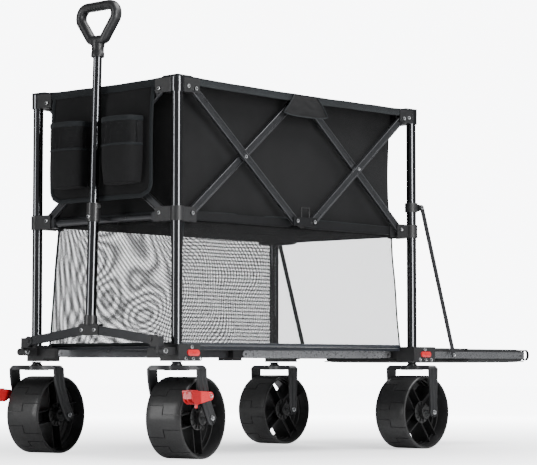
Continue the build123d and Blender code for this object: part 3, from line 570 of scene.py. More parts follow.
def cloth(name, dark, light, across, along, pitch=0.0016, wrinkle=0.35, sheen=0.03, rough=0.82):
    """Plain-woven cloth; across and along name the two axes that its threads follow."""
    finish = Finish(name, rough, sheen=sheen)
    finish.shader.inputs["Specular IOR Level"].default_value = 0.22
    axes = dict(zip("xyz", finish.axes()))
    turn = 2 * math.pi / pitch
    warp = finish.math("SINE", finish.math("MULTIPLY", axes[across], turn))
    weft = finish.math("SINE", finish.math("MULTIPLY", axes[along], turn))
    weave = finish.math("MULTIPLY", warp, weft)
    patches = finish.grain(9, 4)
    fuzz = finish.grain(700, 2)
    shade = finish.math("ADD", finish.math("MULTIPLY", patches, 0.6), finish.math("MULTIPLY", fuzz, 0.4))
    finish.use(finish.blend(finish.span(shade, 0.3, 0.7, 0.0, 1.0), dark, light), "Base Color")
    finish.use(finish.span(fuzz, 0.3, 0.7, rough - 0.08, rough + 0.06), "Roughness")
    crumple = finish.math("MULTIPLY", finish.grain(14, 5), wrinkle * 12)
    finish.bump(finish.math("ADD", weave, crumple), 0.5, 0.0004)
    return finish.material


BAG_DARK = (0.0042, 0.0043, 0.0047)
BAG_LIGHT = (0.009, 0.0092, 0.0098)
TAPE_DARK = (0.005, 0.0066, 0.0078)
TAPE_LIGHT = (0.0105, 0.0138, 0.016)
side_cloth = cloth("side_wall_cloth", BAG_DARK, BAG_LIGHT, "x", "z")
end_cloth = cloth("end_wall_cloth", BAG_DARK, BAG_LIGHT, "y", "z")
# Painted shade: the floor cloth, used for the bag's floor leaves and the pocket feet, is the walls' black cloth
# at about half their brightness, standing in for the shade beneath the bag.
underside_painted_shade_cloth = cloth("floor_cloth_painted_shade", (0.0024, 0.0025, 0.0028), (0.005, 0.0052, 0.0056), "x", "y")
tape = cloth(
    "binding_tape", TAPE_DARK, TAPE_LIGHT, "x", "z", pitch=0.0011, wrinkle=0.1, sheen=0.05, rough=0.6
)
tape_ends = cloth(
    "end_binding_tape", TAPE_DARK, TAPE_LIGHT, "y", "z", pitch=0.0011, wrinkle=0.1, sheen=0.05, rough=0.6
)


def surface(place, across, up, thickness=0.0012):
    """A cloth panel from place(u, v), with u and v from 0 to 1, given a small thickness."""
    form = bmesh.new()
    rows = [[form.verts.new(place(i / across, j / up)) for i in range(across + 1)] for j in range(up + 1)]
    for low_row, high_row in zip(rows, rows[1:]):
        for i in range(across):
            form.faces.new((low_row[i], low_row[i + 1], high_row[i + 1], high_row[i]))
    bmesh.ops.recalc_face_normals(form, faces=form.faces)
    if thickness:
        bmesh.ops.solidify(form, geom=form.faces[:], thickness=thickness)
    return form


def ripple(point, size, height, seed):
    """A soft hand-sewn unevenness."""
    return noise.noise(Vector(point) * size + Vector((seed, seed * 1.7, 0))) * height


def area_of(form):
    return sum(face.calc_area() for face in form.faces)


def show_sheet(name, form, material, body, area=None):
    piece = show(name, form, material, body, angle=60)
    return piece


def wall_place(foot, far, outward_way, depth):
    """Points of a bag wall between two corners; it bellies out a little and pulls in at the corners."""
    run = far - foot
    rise = WALL_TOP - BAG_FLOOR_Z

    def place(u, v):
        ease = math.sin(math.pi * u) ** 0.5 if 0 < u < 1 else 0.0
        belly = depth * ease * math.sin(math.pi * (0.12 + 0.8 * v)) ** 2
        pull = 0.012 * math.sin(math.pi * v) * (2 * u - 1) ** 7
        point = foot + run * u + Vector((0, 0, BAG_FLOOR_Z + 0.004 + rise * v - foot.z))
        point -= run.normalized() * pull
        point += outward_way * (belly + ripple(point, 7, 0.004, 3) + ripple(point, 21, 0.0012, 8))
        return point

    return place


bag_corner = {
    key: foot + Vector((-ENDS[key[0]] * WALL_IN_X, -SIDES[key[1]] * WALL_IN_Y, 0)) for key, foot in post.items()
}


def fold_along(piece):
    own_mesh(piece)


def fold_across(piece):
    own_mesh(piece)


for side, outward in SIDES.items():
    out = Vector((0, outward, 0))
    start, finish = bag_corner["front", side], bag_corner["rear", side]
    wall = surface(wall_place(start, finish, out, 0.010), 72, 30)
    body = f"front_{side}_corner"
    piece = show_sheet(
        f"bag_{side}_wall", wall, side_cloth, body,
    )
    fold_along(piece)
    if side == "left":
        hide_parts("upper_bag")
for end, toward in ENDS.items():
    out = Vector((toward, 0, 0))
    start, finish = bag_corner[end, "left"], bag_corner[end, "right"]
    wall = surface(wall_place(start, finish, out, 0.006), 44, 30)
    piece = show_sheet(
        f"bag_{end}_wall", wall, end_cloth, f"{end}_left_corner",
    )
    fold_across(piece)

# The floor is two padded leaves that meet along the middle, each riding on the front corner of its side.
FLOOR_THICK = 0.008
for side, outward in SIDES.items():
    low = Vector((bag_corner["front", "left"].x + 0.003, middle.y, BAG_FLOOR_Z + 0.001))
    run_x = bag_corner["rear", "left"].x - 0.003 - low.x
    run_y = outward * (bag_corner["front", "right"].y - middle.y - 0.003)
    seam = 0.004

    def leaf(u, v, low=low, run_x=run_x, run_y=run_y):
        sag = 0.0016 * math.sin(math.pi * u) * math.sin(math.pi * v)
        channel = 0.0012 * abs(math.sin(4 * math.pi * u)) ** 0.3
        return low + Vector((run_x * u, seam * (1 if run_y > 0 else -1) + run_y * v * 0.98, channel - sag))

    board = surface(leaf, 64, 14, FLOOR_THICK * 0.8)
    piece = show(f"bag_floor_{side}_leaf", board, underside_painted_shade_cloth, f"front_{side}_corner", 60)
    fold_along(piece)


# ---- Rim band and hem tapes ----
# A folded band of navy-black webbing, sewn round the top edge. It reaches out over the top brackets, drops
# a short lip outside them and humps where it passes each post. A bound hem finishes the foot of the walls.
HUMP = 0.0035


def band(points, profile):
    """A band whose section, of (out, up) points, follows a line; points carry their outward direction."""
    form = bmesh.new()
    rows = []
    for point, out in points:
        rows.append([form.verts.new(point + out * across + Vector((0, 0, rise))) for across, rise in profile])
    return skin(form, rows)


def rim_line(start, finish, out, steps=60):
    """The top edge between two posts, a little slack at mid length and raised over each bracket."""
    line = []
    for k in range(steps + 1):
        u = k / steps
        point = start.lerp(finish, u)
        span = (finish - start).length
        near = min(u, 1 - u) * span
        hump = HUMP * (1 - min(near / 0.10, 1.0)) ** 1.5
        point.z = RIM_Z - HUMP + hump - 0.003 * math.sin(math.pi * u) + ripple(point, 16, 0.0008, 5)
        line.append((point, out))
    return line


RIM_SECTION = [
    (0.000, 0.0000), (-0.0012, -0.0012), (-0.0008, -0.0175), (-0.0022, -0.0185), (-0.0034, -0.0175),
    (-0.0034, -0.0036), (-0.049, -0.0046), (-0.0495, -0.0036), (-0.0490, -0.0008), (-0.004, -0.0002),
]
rim_foot = {
    key: foot + Vector((ENDS[key[0]] * RIM_OUT, SIDES[key[1]] * RIM_OUT, 0)) for key, foot in post.items()
}
for side, outward in SIDES.items():
    out = Vector((0, outward, 0))
    line = rim_line(rim_foot["front", side], rim_foot["rear", side], out)
    piece = show(f"rim_{side}_band", band(line, RIM_SECTION), tape, f"front_{side}_corner", 50)
    fold_along(piece)
for end, toward in ENDS.items():
    out = Vector((toward, 0, 0))
    line = rim_line(rim_foot[end, "left"], rim_foot[end, "right"], out, 40)
    piece = show(f"rim_{end}_band", band(line, RIM_SECTION), tape_ends, f"{end}_left_corner", 50)
    fold_across(piece)

HEM_SECTION = [
    (0.0005, 0.018), (0.0022, 0.017), (0.0026, 0.009), (0.0022, 0.001), (0.0008, -0.001),
    (-0.0012, 0.0), (-0.0012, 0.017),
]
for side, outward in SIDES.items():
    out = Vector((0, outward, 0))
    start, finish = bag_corner["front", side], bag_corner["rear", side]
    line = []
    for k in range(49):
        point = start.lerp(finish, k / 48)
        point.z = BAG_FLOOR_Z + 0.002 + 0.003 * math.sin(math.pi * k / 48)
        line.append((point + out * 0.001, out))
    piece = show(f"hem_{side}_tape", band(line, HEM_SECTION), tape, f"front_{side}_corner", 50)
    fold_along(piece)
for end, toward in ENDS.items():
    out = Vector((toward, 0, 0))
    start, finish = bag_corner[end, "left"], bag_corner[end, "right"]
    line = []
    for k in range(33):
        point = start.lerp(finish, k / 32)
        point.z = BAG_FLOOR_Z + 0.002
        line.append((point + out * 0.001, out))
    piece = show(f"hem_{end}_tape", band(line, HEM_SECTION), tape_ends, f"{end}_left_corner", 50)
    fold_across(piece)


# ---- Side flap ----
# A small stitched patch of the same cloth on each long side. It hangs from the rim over the joint of the
# rising bars, is wider at its foot, and is left plain.
FLAP_TOP_HALF = 0.043
FLAP_FOOT_HALF = 0.082
FLAP_DROP = 0.052
for side, outward in SIDES.items():
    out = Vector((0, outward, 0))
    top = Vector((middle.x, post["front", side].y, RIM_Z - 0.010)) + out * 0.0135

    def flap(u, v, top=top, out=out):
        half = FLAP_FOOT_HALF + (FLAP_TOP_HALF - FLAP_FOOT_HALF) * v
        droop = FLAP_DROP * (1 - v) * (1 - 0.12 * (2 * u - 1) ** 4)
        bow = 0.0025 * math.sin(math.pi * v) + ripple((u, v, 0), 5, 0.0015, 2)
        return top + Vector(((2 * u - 1) * half, 0, -droop)) + out * bow

    patch = surface(flap, 30, 14, 0.0016)
    piece = show_sheet(
        f"{side}_flap", patch, side_cloth, f"front_{side}_corner",
    )
    fold_along(piece)
    edge = [flap(k / 24, 0.0) for k in range(25)]
    edge = [flap(0.0, 1 - k / 8) for k in range(8)] + edge + [flap(1.0, k / 8) for k in range(1, 9)]
    trim = tube_along([point + out * 0.0012 for point in edge], 0.0016, 8, up=tuple(out))
    piece = show(f"{side}_flap_trim", trim, tape, f"front_{side}_corner", 60)
    fold_along(piece)


# ---- Organiser panel and bottle pockets ----
# A bound panel hangs outside the front wall. Two pockets are sewn to it, one each side of the handle:
# see-through mesh at the mouth, doubled cloth below, and a stretch binding round the mouth.
PANEL_HALF = 0.174
PANEL_TOP = RIM_Z - 0.012
PANEL_FOOT = 0.614
PANEL_X = post["front", "left"].x - 0.0155
POCKET_MID = 0.091
POCKET_HALF = 0.056
POCKET_OUT = 0.049
POCKET_FOOT = 0.646
POCKET_TOP = 0.800
MESH_FOOT = 0.735


def panel_half_width(z):
    """Half width of the panel: straight sides with rounded lower corners."""
    radius = 0.030
    lift = z - PANEL_FOOT
    if lift >= radius:
        return PANEL_HALF
    return PANEL_HALF - radius + math.sqrt(max(radius ** 2 - (radius - lift) ** 2, 0.0))


def panel_point(u, v):
    z = PANEL_FOOT + (PANEL_TOP - PANEL_FOOT) * v
    half = panel_half_width(z)
    point = Vector((PANEL_X, middle.y + (2 * u - 1) * half, z))
    point.x += 0.010 * v ** 8 - ripple(point, 9, 0.004, 4)
    return point


panel = show_sheet(
    "organiser_panel", surface(panel_point, 40, 30, 0.002), end_cloth, "front_left_corner",
)
fold_across(panel)
edge = [panel_point(0, 1 - k / 30) for k in range(30)]
edge += [panel_point(k / 20, 0) for k in range(21)] + [panel_point(1, k / 30) for k in range(1, 31)]
piping = tube_along([point + Vector((-0.001, 0, 0)) for point in edge], 0.0058, 12, up=(1, 0, 0), flatten=0.4)
piece = show("organiser_binding", piping, tape_ends, "front_left_corner", 60)
fold_across(piece)


def see_through(name, dark, light, across, along, pitch, open_share):
    """Knitted mesh: soft-edged holes in a grid, cut by the material's own pattern."""
    finish = Finish(name, 0.7)
    finish.shader.inputs["Specular IOR Level"].default_value = 0.2
    axes = dict(zip("xyz", finish.axes()))
    turn = math.pi / pitch
    one = finish.math("SINE", finish.math("MULTIPLY", axes[across], turn))
    two = finish.math("SINE", finish.math("MULTIPLY", axes[along], turn))
    cell = finish.math("ABSOLUTE", finish.math("MULTIPLY", one, two))
    finish.use(finish.span(cell, open_share - 0.25, open_share + 0.25, 1.0, 0.12), "Alpha")
    finish.use(finish.blend(finish.grain(60), dark, light), "Base Color")
    finish.bump(cell, 0.3, 0.0004)
    return finish.material


pocket_mesh = see_through(
    "pocket_mesh", (0.004, 0.0043, 0.0047), (0.010, 0.0105, 0.0115), "y", "z", 0.0014, 0.6
)
for side, outward in SIDES.items():
    centre = middle.y + outward * POCKET_MID

    def pocket(u, v, centre=centre, low=POCKET_FOOT, high=MESH_FOOT):
        turn = math.pi * u
        z = low + (high - low) * v
        swell = 1 - 0.10 * (1 - v) ** 2 if low == POCKET_FOOT else 1.0
        flare = 1.0 + 0.03 * math.sin(math.pi * v)
        across = -math.cos(turn)
        reach_out = math.sin(turn) ** 0.45
        point = Vector((0, centre + across * POCKET_HALF * swell, z))
        point.x = PANEL_X - 0.001 - reach_out * POCKET_OUT * 0.98 * swell * flare + ripple(point, 24, 0.0015, 6)
        return point

    lower = surface(pocket, 40, 16, 0.0014)
    body = "front_left_corner"
    piece = show_sheet(f"{side}_pocket_cloth", lower, end_cloth, body)
    fold_across(piece)

    def base(u, v, pocket=pocket, centre=centre):
        rim_point = pocket(u, 0)
        back = Vector((PANEL_X - 0.001, rim_point.y, POCKET_FOOT))
        return back.lerp(rim_point, v) + Vector((0, 0, -0.004 * math.sin(math.pi * u) * math.sin(math.pi * v)))

    piece = show_sheet(f"{side}_pocket_foot", surface(base, 24, 8, 0.0014), underside_painted_shade_cloth, body,
                       area=area_of(surface(base, 24, 8, 0)))
    fold_across(piece)

    def mesh_place(u, v, pocket=pocket):
        return pocket(u, v, low=MESH_FOOT, high=POCKET_TOP - 0.006)

    piece = show_sheet(f"{side}_pocket_mesh", surface(mesh_place, 40, 10, 0), pocket_mesh, body)
    fold_across(piece)
    mouth = [mesh_place(k / 30, 1.0) + Vector((0, 0, 0.002)) for k in range(31)]
    joint = [mesh_place(k / 30, 0.0) + Vector((-0.0006, 0, 0)) for k in range(31)]
    binding = tube_along(mouth, 0.0019, 8, flatten=3.2)
    absorb(binding, tube_along(joint, 0.0011, 8, flatten=2.6))
    piece = show(f"{side}_pocket_binding", binding, tape_ends, body, 60)
    fold_across(piece)


# ---- Lower deck ----
# A padded floor of coated navy cloth over a board, bound along its edges, with dark see-through mesh walls
# that hang from the upper bag's foot to the deck on both sides and at the front. The rear is open.
deck_low, deck_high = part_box("lower_deck")
DECK_TOP = 0.269
DECK_FOOT = deck_low.z
MESH_TOP = deck_high.z

glossy_cloth = cloth("coated_deck_cloth", (0.006, 0.0075, 0.0105), (0.014, 0.0175, 0.024), "x", "y",
                     pitch=0.0018, wrinkle=0.2, sheen=0.04, rough=0.42)
edge_tape = Finish("deck_edge_tape", 0.24, coat=0.5, coat_roughness=0.12)
edge_tape.tint(16, (0.008, 0.010, 0.0135), (0.032, 0.038, 0.047), stretch=(0.3, 1, 1))
edge_tape.bump(edge_tape.grain(120, stretch=(0.3, 1, 1)), 0.2, 0.0006)

for side, outward in SIDES.items():
    start = Vector((deck_low.x, middle.y, DECK_FOOT + 0.0012))
    run_x = deck_high.x - start.x
    run_y = outward * (deck_high.y - deck_low.y - 0.002) / 2

    def leaf(u, v, start=start, run_x=run_x, run_y=run_y, outward=outward):
        quilt = 0.0022 * (abs(math.sin(5 * math.pi * u)) * abs(math.sin(2 * math.pi * v))) ** 0.35
        return start + Vector((run_x * u, outward * 0.001 + (run_y - outward * 0.001) * v, quilt))

    floor_leaf = surface(leaf, 90, 30, 0.0065)
    piece = show(f"deck_floor_{side}_leaf", floor_leaf, glossy_cloth, f"front_{side}_corner", 60)
    fold_along(piece)
    if side == "left":
        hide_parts("lower_deck")
    line = [
        Vector((
            deck_low.x + (deck_high.x - deck_low.x) * k / 60, outward * (deck_high.y - 0.001), DECK_TOP - 0.004
        ))
        for k in range(61)
    ]
    binding = tube_along(line, 0.0042, 10)
    piece = show(f"deck_{side}_binding", binding, edge_tape.material, f"front_{side}_corner", 60)
    fold_along(piece)

MESH_DARK = (0.004, 0.0042, 0.0045)
MESH_LIGHT = (0.0095, 0.0098, 0.0105)
MESH_PITCH = 0.0011
side_mesh = see_through("side_mesh", MESH_DARK, MESH_LIGHT, "x", "z", MESH_PITCH, 0.62)
end_mesh = see_through("end_mesh", MESH_DARK, MESH_LIGHT, "y", "z", MESH_PITCH, 0.55)
SLANT = 0.030


def show_mesh_wall(name, start, finish, out, material, body, fold):
    run = finish - start
    way = run.normalized()

    def place(u, v):
        point = start + run * u + way * SLANT * (v - 0.5) * (1 - 2 * u)
        point.z = DECK_TOP - 0.002 + (MESH_TOP + 0.010 - DECK_TOP) * v
        slack = 0.006 * math.sin(math.pi * u) * math.sin(math.pi * v)
        return point + out * (ripple(point, 9, 0.004, 9) - slack)

    piece = show_sheet(name, surface(place, 48, 20, 0), material, body)
    fold(piece)
    trim = tube_along([place(0, k / 16) for k in range(17)], 0.003, 8, up=tuple(out), flatten=0.5)
    absorb(trim, tube_along([place(1, k / 16) for k in range(17)], 0.003, 8, up=tuple(out), flatten=0.5))
    absorb(trim, tube_along([place(k / 40, 0.0) for k in range(41)], 0.003, 8, up=tuple(out), flatten=0.5))
    trim_piece = show(f"{name}_binding", trim, tape, body, 60)
    fold(trim_piece)


WALL_GAP = 0.006
for side, outward in SIDES.items():
    y = outward * (deck_high.y - WALL_GAP)
    start, finish = Vector((deck_low.x + 0.012, y, 0)), Vector((deck_high.x - 0.012, y, 0))
    show_mesh_wall(f"{side}_mesh_wall", start, finish, Vector((0, outward, 0)), side_mesh,
                   f"front_{side}_corner", fold_along)
x = deck_low.x + WALL_GAP
show_mesh_wall("front_mesh_wall", Vector((x, deck_low.y + 0.012, 0)), Vector((x, deck_high.y - 0.012, 0)),
               Vector((-1, 0, 0)), end_mesh, "front_left_corner", fold_across)


# ---- Umbrella base ----
# Four pressed steel arms run from the moulded hub to lugs on the base blocks. The two on each side show as a
# pale satin rail behind and a darker one in front.
pale_coat = Finish("pale_satin_coat", 0.3, metallic=0.85, coat=0.15)
pale_coat.tint(60, (0.2, 0.205, 0.215), (0.33, 0.335, 0.345), stretch=(0.2, 1, 1))
pale_coat.polish(200, 0.24, 0.36)
pale_coat.bump(pale_coat.grain(1100), 0.08, 0.0002)
for end in ENDS:
    for side in SIDES:
        paint(f"{end}_{side}_base_arm", pale_coat.material if end == "rear" else coat.material)
paint("base_hub", nylon.material)


# ---- Wheels ----
# Wide one-piece drums of satin black plastic with a block tread cut in L shapes. Inside are three hoops, four
# pairs of cross ribs and a hub with a ribbed flange. Each turns on its axle bolt.
WHEEL_RADIUS = 0.095
PITCHES = 6
GROOVE = 0.0016
CASTER_TURN = math.radians(10)
TRAIL = 0.039
SPOKE_OFF = 0.015

# Angles within a pitch and distances across the drum, at the lips and floors of the grooves.
CUTS = [0.110, 0.310, 0.560, 0.760]
TREAD_TURNS = sorted([cut + step for cut in CUTS for step in (-0.010, -0.007, 0.007, 0.010)]
                     + [0.0, 0.055, 0.18, 0.245, 0.39, 0.475, 0.63, 0.695, 0.84, 0.92])
TREAD_ROWS = [-48.5, -46.8, -45.5, -30.0, -15.0, -1.3, -0.9, 0.9, 1.3, 15.0, 30.0, 45.5, 46.8, 48.5]


def groove_depth(turn, y):
    """How deep the tread is cut at a fraction of a pitch and a distance across the drum in millimetres."""
    first, second, third, fourth = (abs(turn - cut) < 0.008 for cut in CUTS)
    outer_run = (first or fourth) and y > -1.0
    inner_run = (second or third) and y < 1.0
    middle_run = abs(y) < 1.0 and (CUTS[0] < turn < CUTS[1] or CUTS[2] < turn < CUTS[3])
    return GROOVE if outer_run or inner_run or middle_run else 0.0


def tread():
    """The outer skin of the drum, with its axis along Z."""
    form = bmesh.new()
    columns = []
    for pitch in range(PITCHES):
        for turn in TREAD_TURNS:
            angle = 2 * math.pi * (pitch + turn) / PITCHES
            column = []
            for y in TREAD_ROWS:
                edge = max(abs(y) - 45.5, 0.0) / 3.0
                radius = WHEEL_RADIUS - 0.0022 * edge ** 2 - groove_depth(turn, y) * (1 - edge)
                column.append(form.verts.new((radius * math.cos(angle), radius * math.sin(angle), y / 1000)))
            columns.append(column)
    for k, column in enumerate(columns):
        after = columns[(k + 1) % len(columns)]
        for j in range(len(TREAD_ROWS) - 1):
            form.faces.new((column[j], after[j], after[j + 1], column[j + 1]))
    bmesh.ops.recalc_face_normals(form, faces=form.faces)
    return form


def slab(low, high, bevel=0.0008):
    """A box between two corners with broken edges."""
    form = bmesh.new()
    size = [b - a for a, b in zip(low, high)]
    centre = [(a + b) / 2 for a, b in zip(low, high)]
    bmesh.ops.create_cube(form, size=1.0, matrix=Matrix.Translation(centre) @ Matrix.Diagonal((*size, 1)))
    bmesh.ops.bevel(form, geom=form.edges[:], offset=bevel, segments=2, affect="EDGES")
    return form


def wheel():
    form = tread()
    absorb(form, lathe([
        (0.0928, 0.0484), (0.0915, 0.0487), (0.0890, 0.0480), (0.0882, 0.0455), (0.0880, 0.0165),
        (0.0855, 0.0160), (0.0855, 0.0130), (0.0880, 0.0125), (0.0880, 0.0020), (0.0850, 0.0015),
        (0.0850, -0.0015), (0.0880, -0.0020), (0.0880, -0.0125), (0.0855, -0.0130), (0.0855, -0.0160),
        (0.0880, -0.0165), (0.0882, -0.0455), (0.0890, -0.0480), (0.0915, -0.0487), (0.0928, -0.0484),
    ], 96))
    absorb(form, lathe([
        (0.0056, 0.0470), (0.0120, 0.0472), (0.0128, 0.0480), (0.0160, 0.0480), (0.0170, 0.0470),
        (0.0172, 0.0335), (0.0270, 0.0330), (0.0285, 0.0322), (0.0285, 0.0300), (0.0170, 0.0294),
        (0.0165, -0.0294), (0.0285, -0.0300), (0.0285, -0.0322), (0.0270, -0.0330), (0.0172, -0.0335),
        (0.0170, -0.0470), (0.0160, -0.0480), (0.0128, -0.0480), (0.0120, -0.0472), (0.0056, -0.0470),
    ], 64))
    for quarter in range(4):
        place = Matrix.Rotation(math.pi / 2 * quarter, 4, "Z")
        for shift in (-SPOKE_OFF, SPOKE_OFF):
            absorb(form, slab((0.008, shift - 0.0016, -0.027), (0.0886, shift + 0.0016, 0.027)), place)
        absorb(form, slab((0.013, -SPOKE_OFF, -0.0016), (0.0865, SPOKE_OFF, 0.0016)), place)
    for face in (-1, 1):
        for k in range(12):
            level = face * 0.0335
            fin = slab((0.015, -0.0009, level - 0.0028), (0.0268, 0.0009, level + 0.0028), 0.0004)
            absorb(form, fin, Matrix.Rotation(2 * math.pi * k / 12, 4, "Z"))
    return form


rubber = Finish("wheel_plastic", 0.36, coat=0.25, coat_roughness=0.2)
dust = rubber.grain(35, 5)
shade = rubber.blend(rubber.span(dust, 0.35, 0.7, 0.0, 1.0), (0.0032, 0.0033, 0.0035), (0.0078, 0.008, 0.0085))
rubber.use(shade, "Base Color")
rubber.polish(220, 0.44, 0.62)
rubber.bump(rubber.math("ADD", rubber.grain(500), rubber.pebbles(700)), 0.18, 0.0003)

caster_frame = {}
for end, toward in ENDS.items():
    for side, outward in SIDES.items():
        turned = Matrix.Rotation(CASTER_TURN if end == "front" else 0.0, 4, "Z")
        mirror = Matrix.Diagonal((1, -outward, 1, 1))
        caster_frame[end, side] = Matrix.Translation(post[end, side]) @ turned @ mirror
        trail = TRAIL if end == "front" else 0.0
        axle_place = caster_frame[end, side] @ Matrix.Translation((trail, 0, WHEEL_RADIUS))
        lay = Matrix.Rotation(math.pi / 2, 4, "X") @ Matrix.Rotation(0.16 + 0.5 * (end == "rear"), 4, "Z")
        form = bmesh.new()
        absorb(form, wheel(), axle_place @ lay)
        node = f"{end}_{side}_wheel"
        piece = show(f"{node}_drum", form, rubber.material, node, 32)
        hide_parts(node)


# ---- Forks ----
# Cast alloy forks with a satin graphite coat. The front pair swivel and sweep back to the axle; the rear pair
# are straight and fixed. Two ridges run down each arm, and a ring-headed bolt holds the axle.
CROWN_FOOT = 0.205
CROWN_TOP = 0.2165
FORK_IN = 0.067
FORK_OUT = 0.073

graphite = Finish("satin_graphite", 0.36, metallic=0.6, coat=0.2, coat_roughness=0.2)
graphite.tint(60, (0.022, 0.0225, 0.024), (0.038, 0.039, 0.041))
graphite.polish(200, 0.3, 0.44)
graphite.bump(graphite.grain(1000), 0.12, 0.0002)

# Half-width share and depth beyond the arm's face, round one cross section of an arm.
ARM_SECTION = [
    (-1.00, 0.0000), (-1.00, 0.0042), (-0.94, 0.0058), (-0.80, 0.0060), (-0.70, 0.0040), (-0.16, 0.0038),
    (-0.08, 0.0056), (0.08, 0.0056), (0.16, 0.0038), (0.70, 0.0040), (0.80, 0.0060), (0.94, 0.0058),
    (1.00, 0.0042), (1.00, 0.0000),
]


def fork_arm(trail, top_half, foot_half, face):
    """One arm from the crown down to a round end at the axle; face is 1 or -1 along local Y."""
    form = bmesh.new()
    top = Vector((0, 0, CROWN_TOP - 0.008))
    foot = Vector((trail, 0, WHEEL_RADIUS))
    pull = Vector((0, 0, CROWN_TOP - 0.060))
    rings = []
    stations = [k / 20 for k in range(21)]
    for t in stations:
        spot = top * (1 - t) ** 2 + pull * 2 * t * (1 - t) + foot * t ** 2
        run = ((pull - top) * (1 - t) + (foot - pull) * t).normalized()
        wide = Vector((-run.z, 0, run.x)) * (top_half + (foot_half - top_half) * min(t * 1.15, 1.0))
        rings.append((spot, wide))
    final, wide = rings[-1]
    run = (foot - pull).normalized()
    for k in range(1, 7):
        turn = math.pi / 2 * k / 6
        rings.append((final + run * math.sin(turn) * foot_half, wide * max(math.cos(turn), 0.04)))
    rows = []
    for spot, wide in rings:
        rows.append([
            form.verts.new(spot + wide * share + Vector((0, face * (FORK_IN + depth), 0)))
            for share, depth in ARM_SECTION
        ])
    return skin(form, rows)


def crown():
    """A shallow box bridge with rounded shoulders, thickened round the kingpin."""
    form = bmesh.new()
    rows = []
    for k in range(-12, 13):
        y = FORK_OUT * k / 12
        shoulder = max(abs(y) - 0.060, 0.0) / 0.013
        top = CROWN_TOP - 0.0075 * shoulder ** 2.4
        half = 0.0165 + 0.009 * math.exp(-(y / 0.022) ** 2)
        low = CROWN_FOOT - 0.001 * (abs(y) < 0.02)
        round_off, wall = 0.0012, 0.003
        ring = [
            (-half, low), (-half, top - round_off), (-half + round_off, top), (half - round_off, top),
            (half, top - round_off), (half, low), (half - wall, low), (half - wall, top - wall),
            (-half + wall, top - wall), (-half + wall, low),
        ]
        rows.append([form.verts.new((x, y, z)) for x, z in ring])
    return skin(form, rows)


def ring_bolt(radius=0.0060):
    r = radius
    return lathe([
        (r, -0.001), (r, 0.0022), (r * 0.9, 0.0032), (r * 0.72, 0.0034), (r * 0.60, 0.0024),
        (r * 0.50, -0.0010), (r, -0.001),
    ], 32)


for (end, side), place in caster_frame.items():
    node = f"{end}_{side}_fork"
    body = f"front_{side}_caster" if end == "front" else f"rear_{side}_corner"
    trail = TRAIL if end == "front" else 0.0
    form = bmesh.new()
    absorb(form, crown(), place)
    for face in (-1, 1):
        arm = fork_arm(trail, 0.0180, 0.0165 if end == "front" else 0.0130, face)
        absorb(form, arm, place)
    neck = lathe([
        (0.0135, 0.2125), (0.0140, 0.2145), (0.0140, 0.2185), (0.0115, 0.2195), (0.0105, 0.2225),
        (0.0125, 0.2238), (0.0125, 0.2252), (0, 0.2253),
    ])
    absorb(form, neck, place)
    arms = show(f"{node}_casting", form, graphite.material, body, 30)
    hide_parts(node)
    bolts = bmesh.new()
    for face in (-1, 1):
        spot = Vector((trail, face * (FORK_OUT - 0.0005), WHEEL_RADIUS))
        absorb(bolts, ring_bolt(), place @ facing(spot, (0, face, 0)))
    shaft = Matrix.Translation((trail, 0, WHEEL_RADIUS)) @ Matrix.Rotation(math.pi / 2, 4, "X")
    axle = lathe([(0.0049, -FORK_IN - 0.002), (0.0050, -0.03), (0.0050, 0.03), (0.0049, FORK_IN + 0.002)])
    absorb(bolts, axle, place @ shaft)
    show(f"{node}_axle_bolt", bolts, bright.material, body)


# ---- Brake pedals and lock buttons ----
# Glossy coral red plastic. Each pedal pivots on a stub outside its fork arm and hooks over the wheel. The pill
# buttons on the blocks free the fold; small zinc rivets and screws surround each one.
red = Finish("coral_plastic", 0.32, coat=0.4, coat_roughness=0.12)
red.tint(40, (0.5, 0.008, 0.014), (0.68, 0.018, 0.024))
red.polish(260, 0.26, 0.4)
red.bump(red.grain(900), 0.08, 0.0002)

PEDAL_U = 0.008
PEDAL_Z = 0.146
PEDAL_REACH = 0.078
PEDAL_NEAR = -0.075
PEDAL_FAR = -0.091
PEDAL_FOOT = 0.026

# Side outline of the lever about its pivot: (along, top, bottom), from the front lip to the pivot's far side.
PEDAL_OUTLINE = [
    (-0.0790, 0.0128, 0.0088), (-0.0775, 0.0134, 0.0060), (-0.0745, 0.0134, -0.0080),
    (-0.0690, 0.0132, -0.0140), (-0.0600, 0.0128, -0.0185), (-0.0520, 0.0124, -0.0190),
    (-0.0400, 0.0118, -0.0164), (-0.0250, 0.0110, -0.0136), (-0.0100, 0.0104, -0.0108),
    (0.0000, 0.0100, -0.0100), (0.0055, 0.0083, -0.0083), (0.0090, 0.0044, -0.0044),
]


def lever_loft(stations, near, far):
    """A hollow-backed lever from side stations; its walls stand at near and far across the cart."""
    form = bmesh.new()
    rows = []
    for along, top, low in stations:
        round_off = min(0.0020, (top - low) * 0.3)
        wall = min(0.0022, (top - low) * 0.4)
        ring = [
            (near, low), (near, top - round_off), (near - round_off, top), (far + round_off, top),
            (far, top - round_off), (far, low), (far + wall, low), (far + wall, top - 2 * round_off),
            (near - wall, top - 2 * round_off), (near - wall, low),
        ]
        rows.append([form.verts.new((PEDAL_U + along, y, PEDAL_Z + z)) for y, z in ring])
    return skin(form, rows)


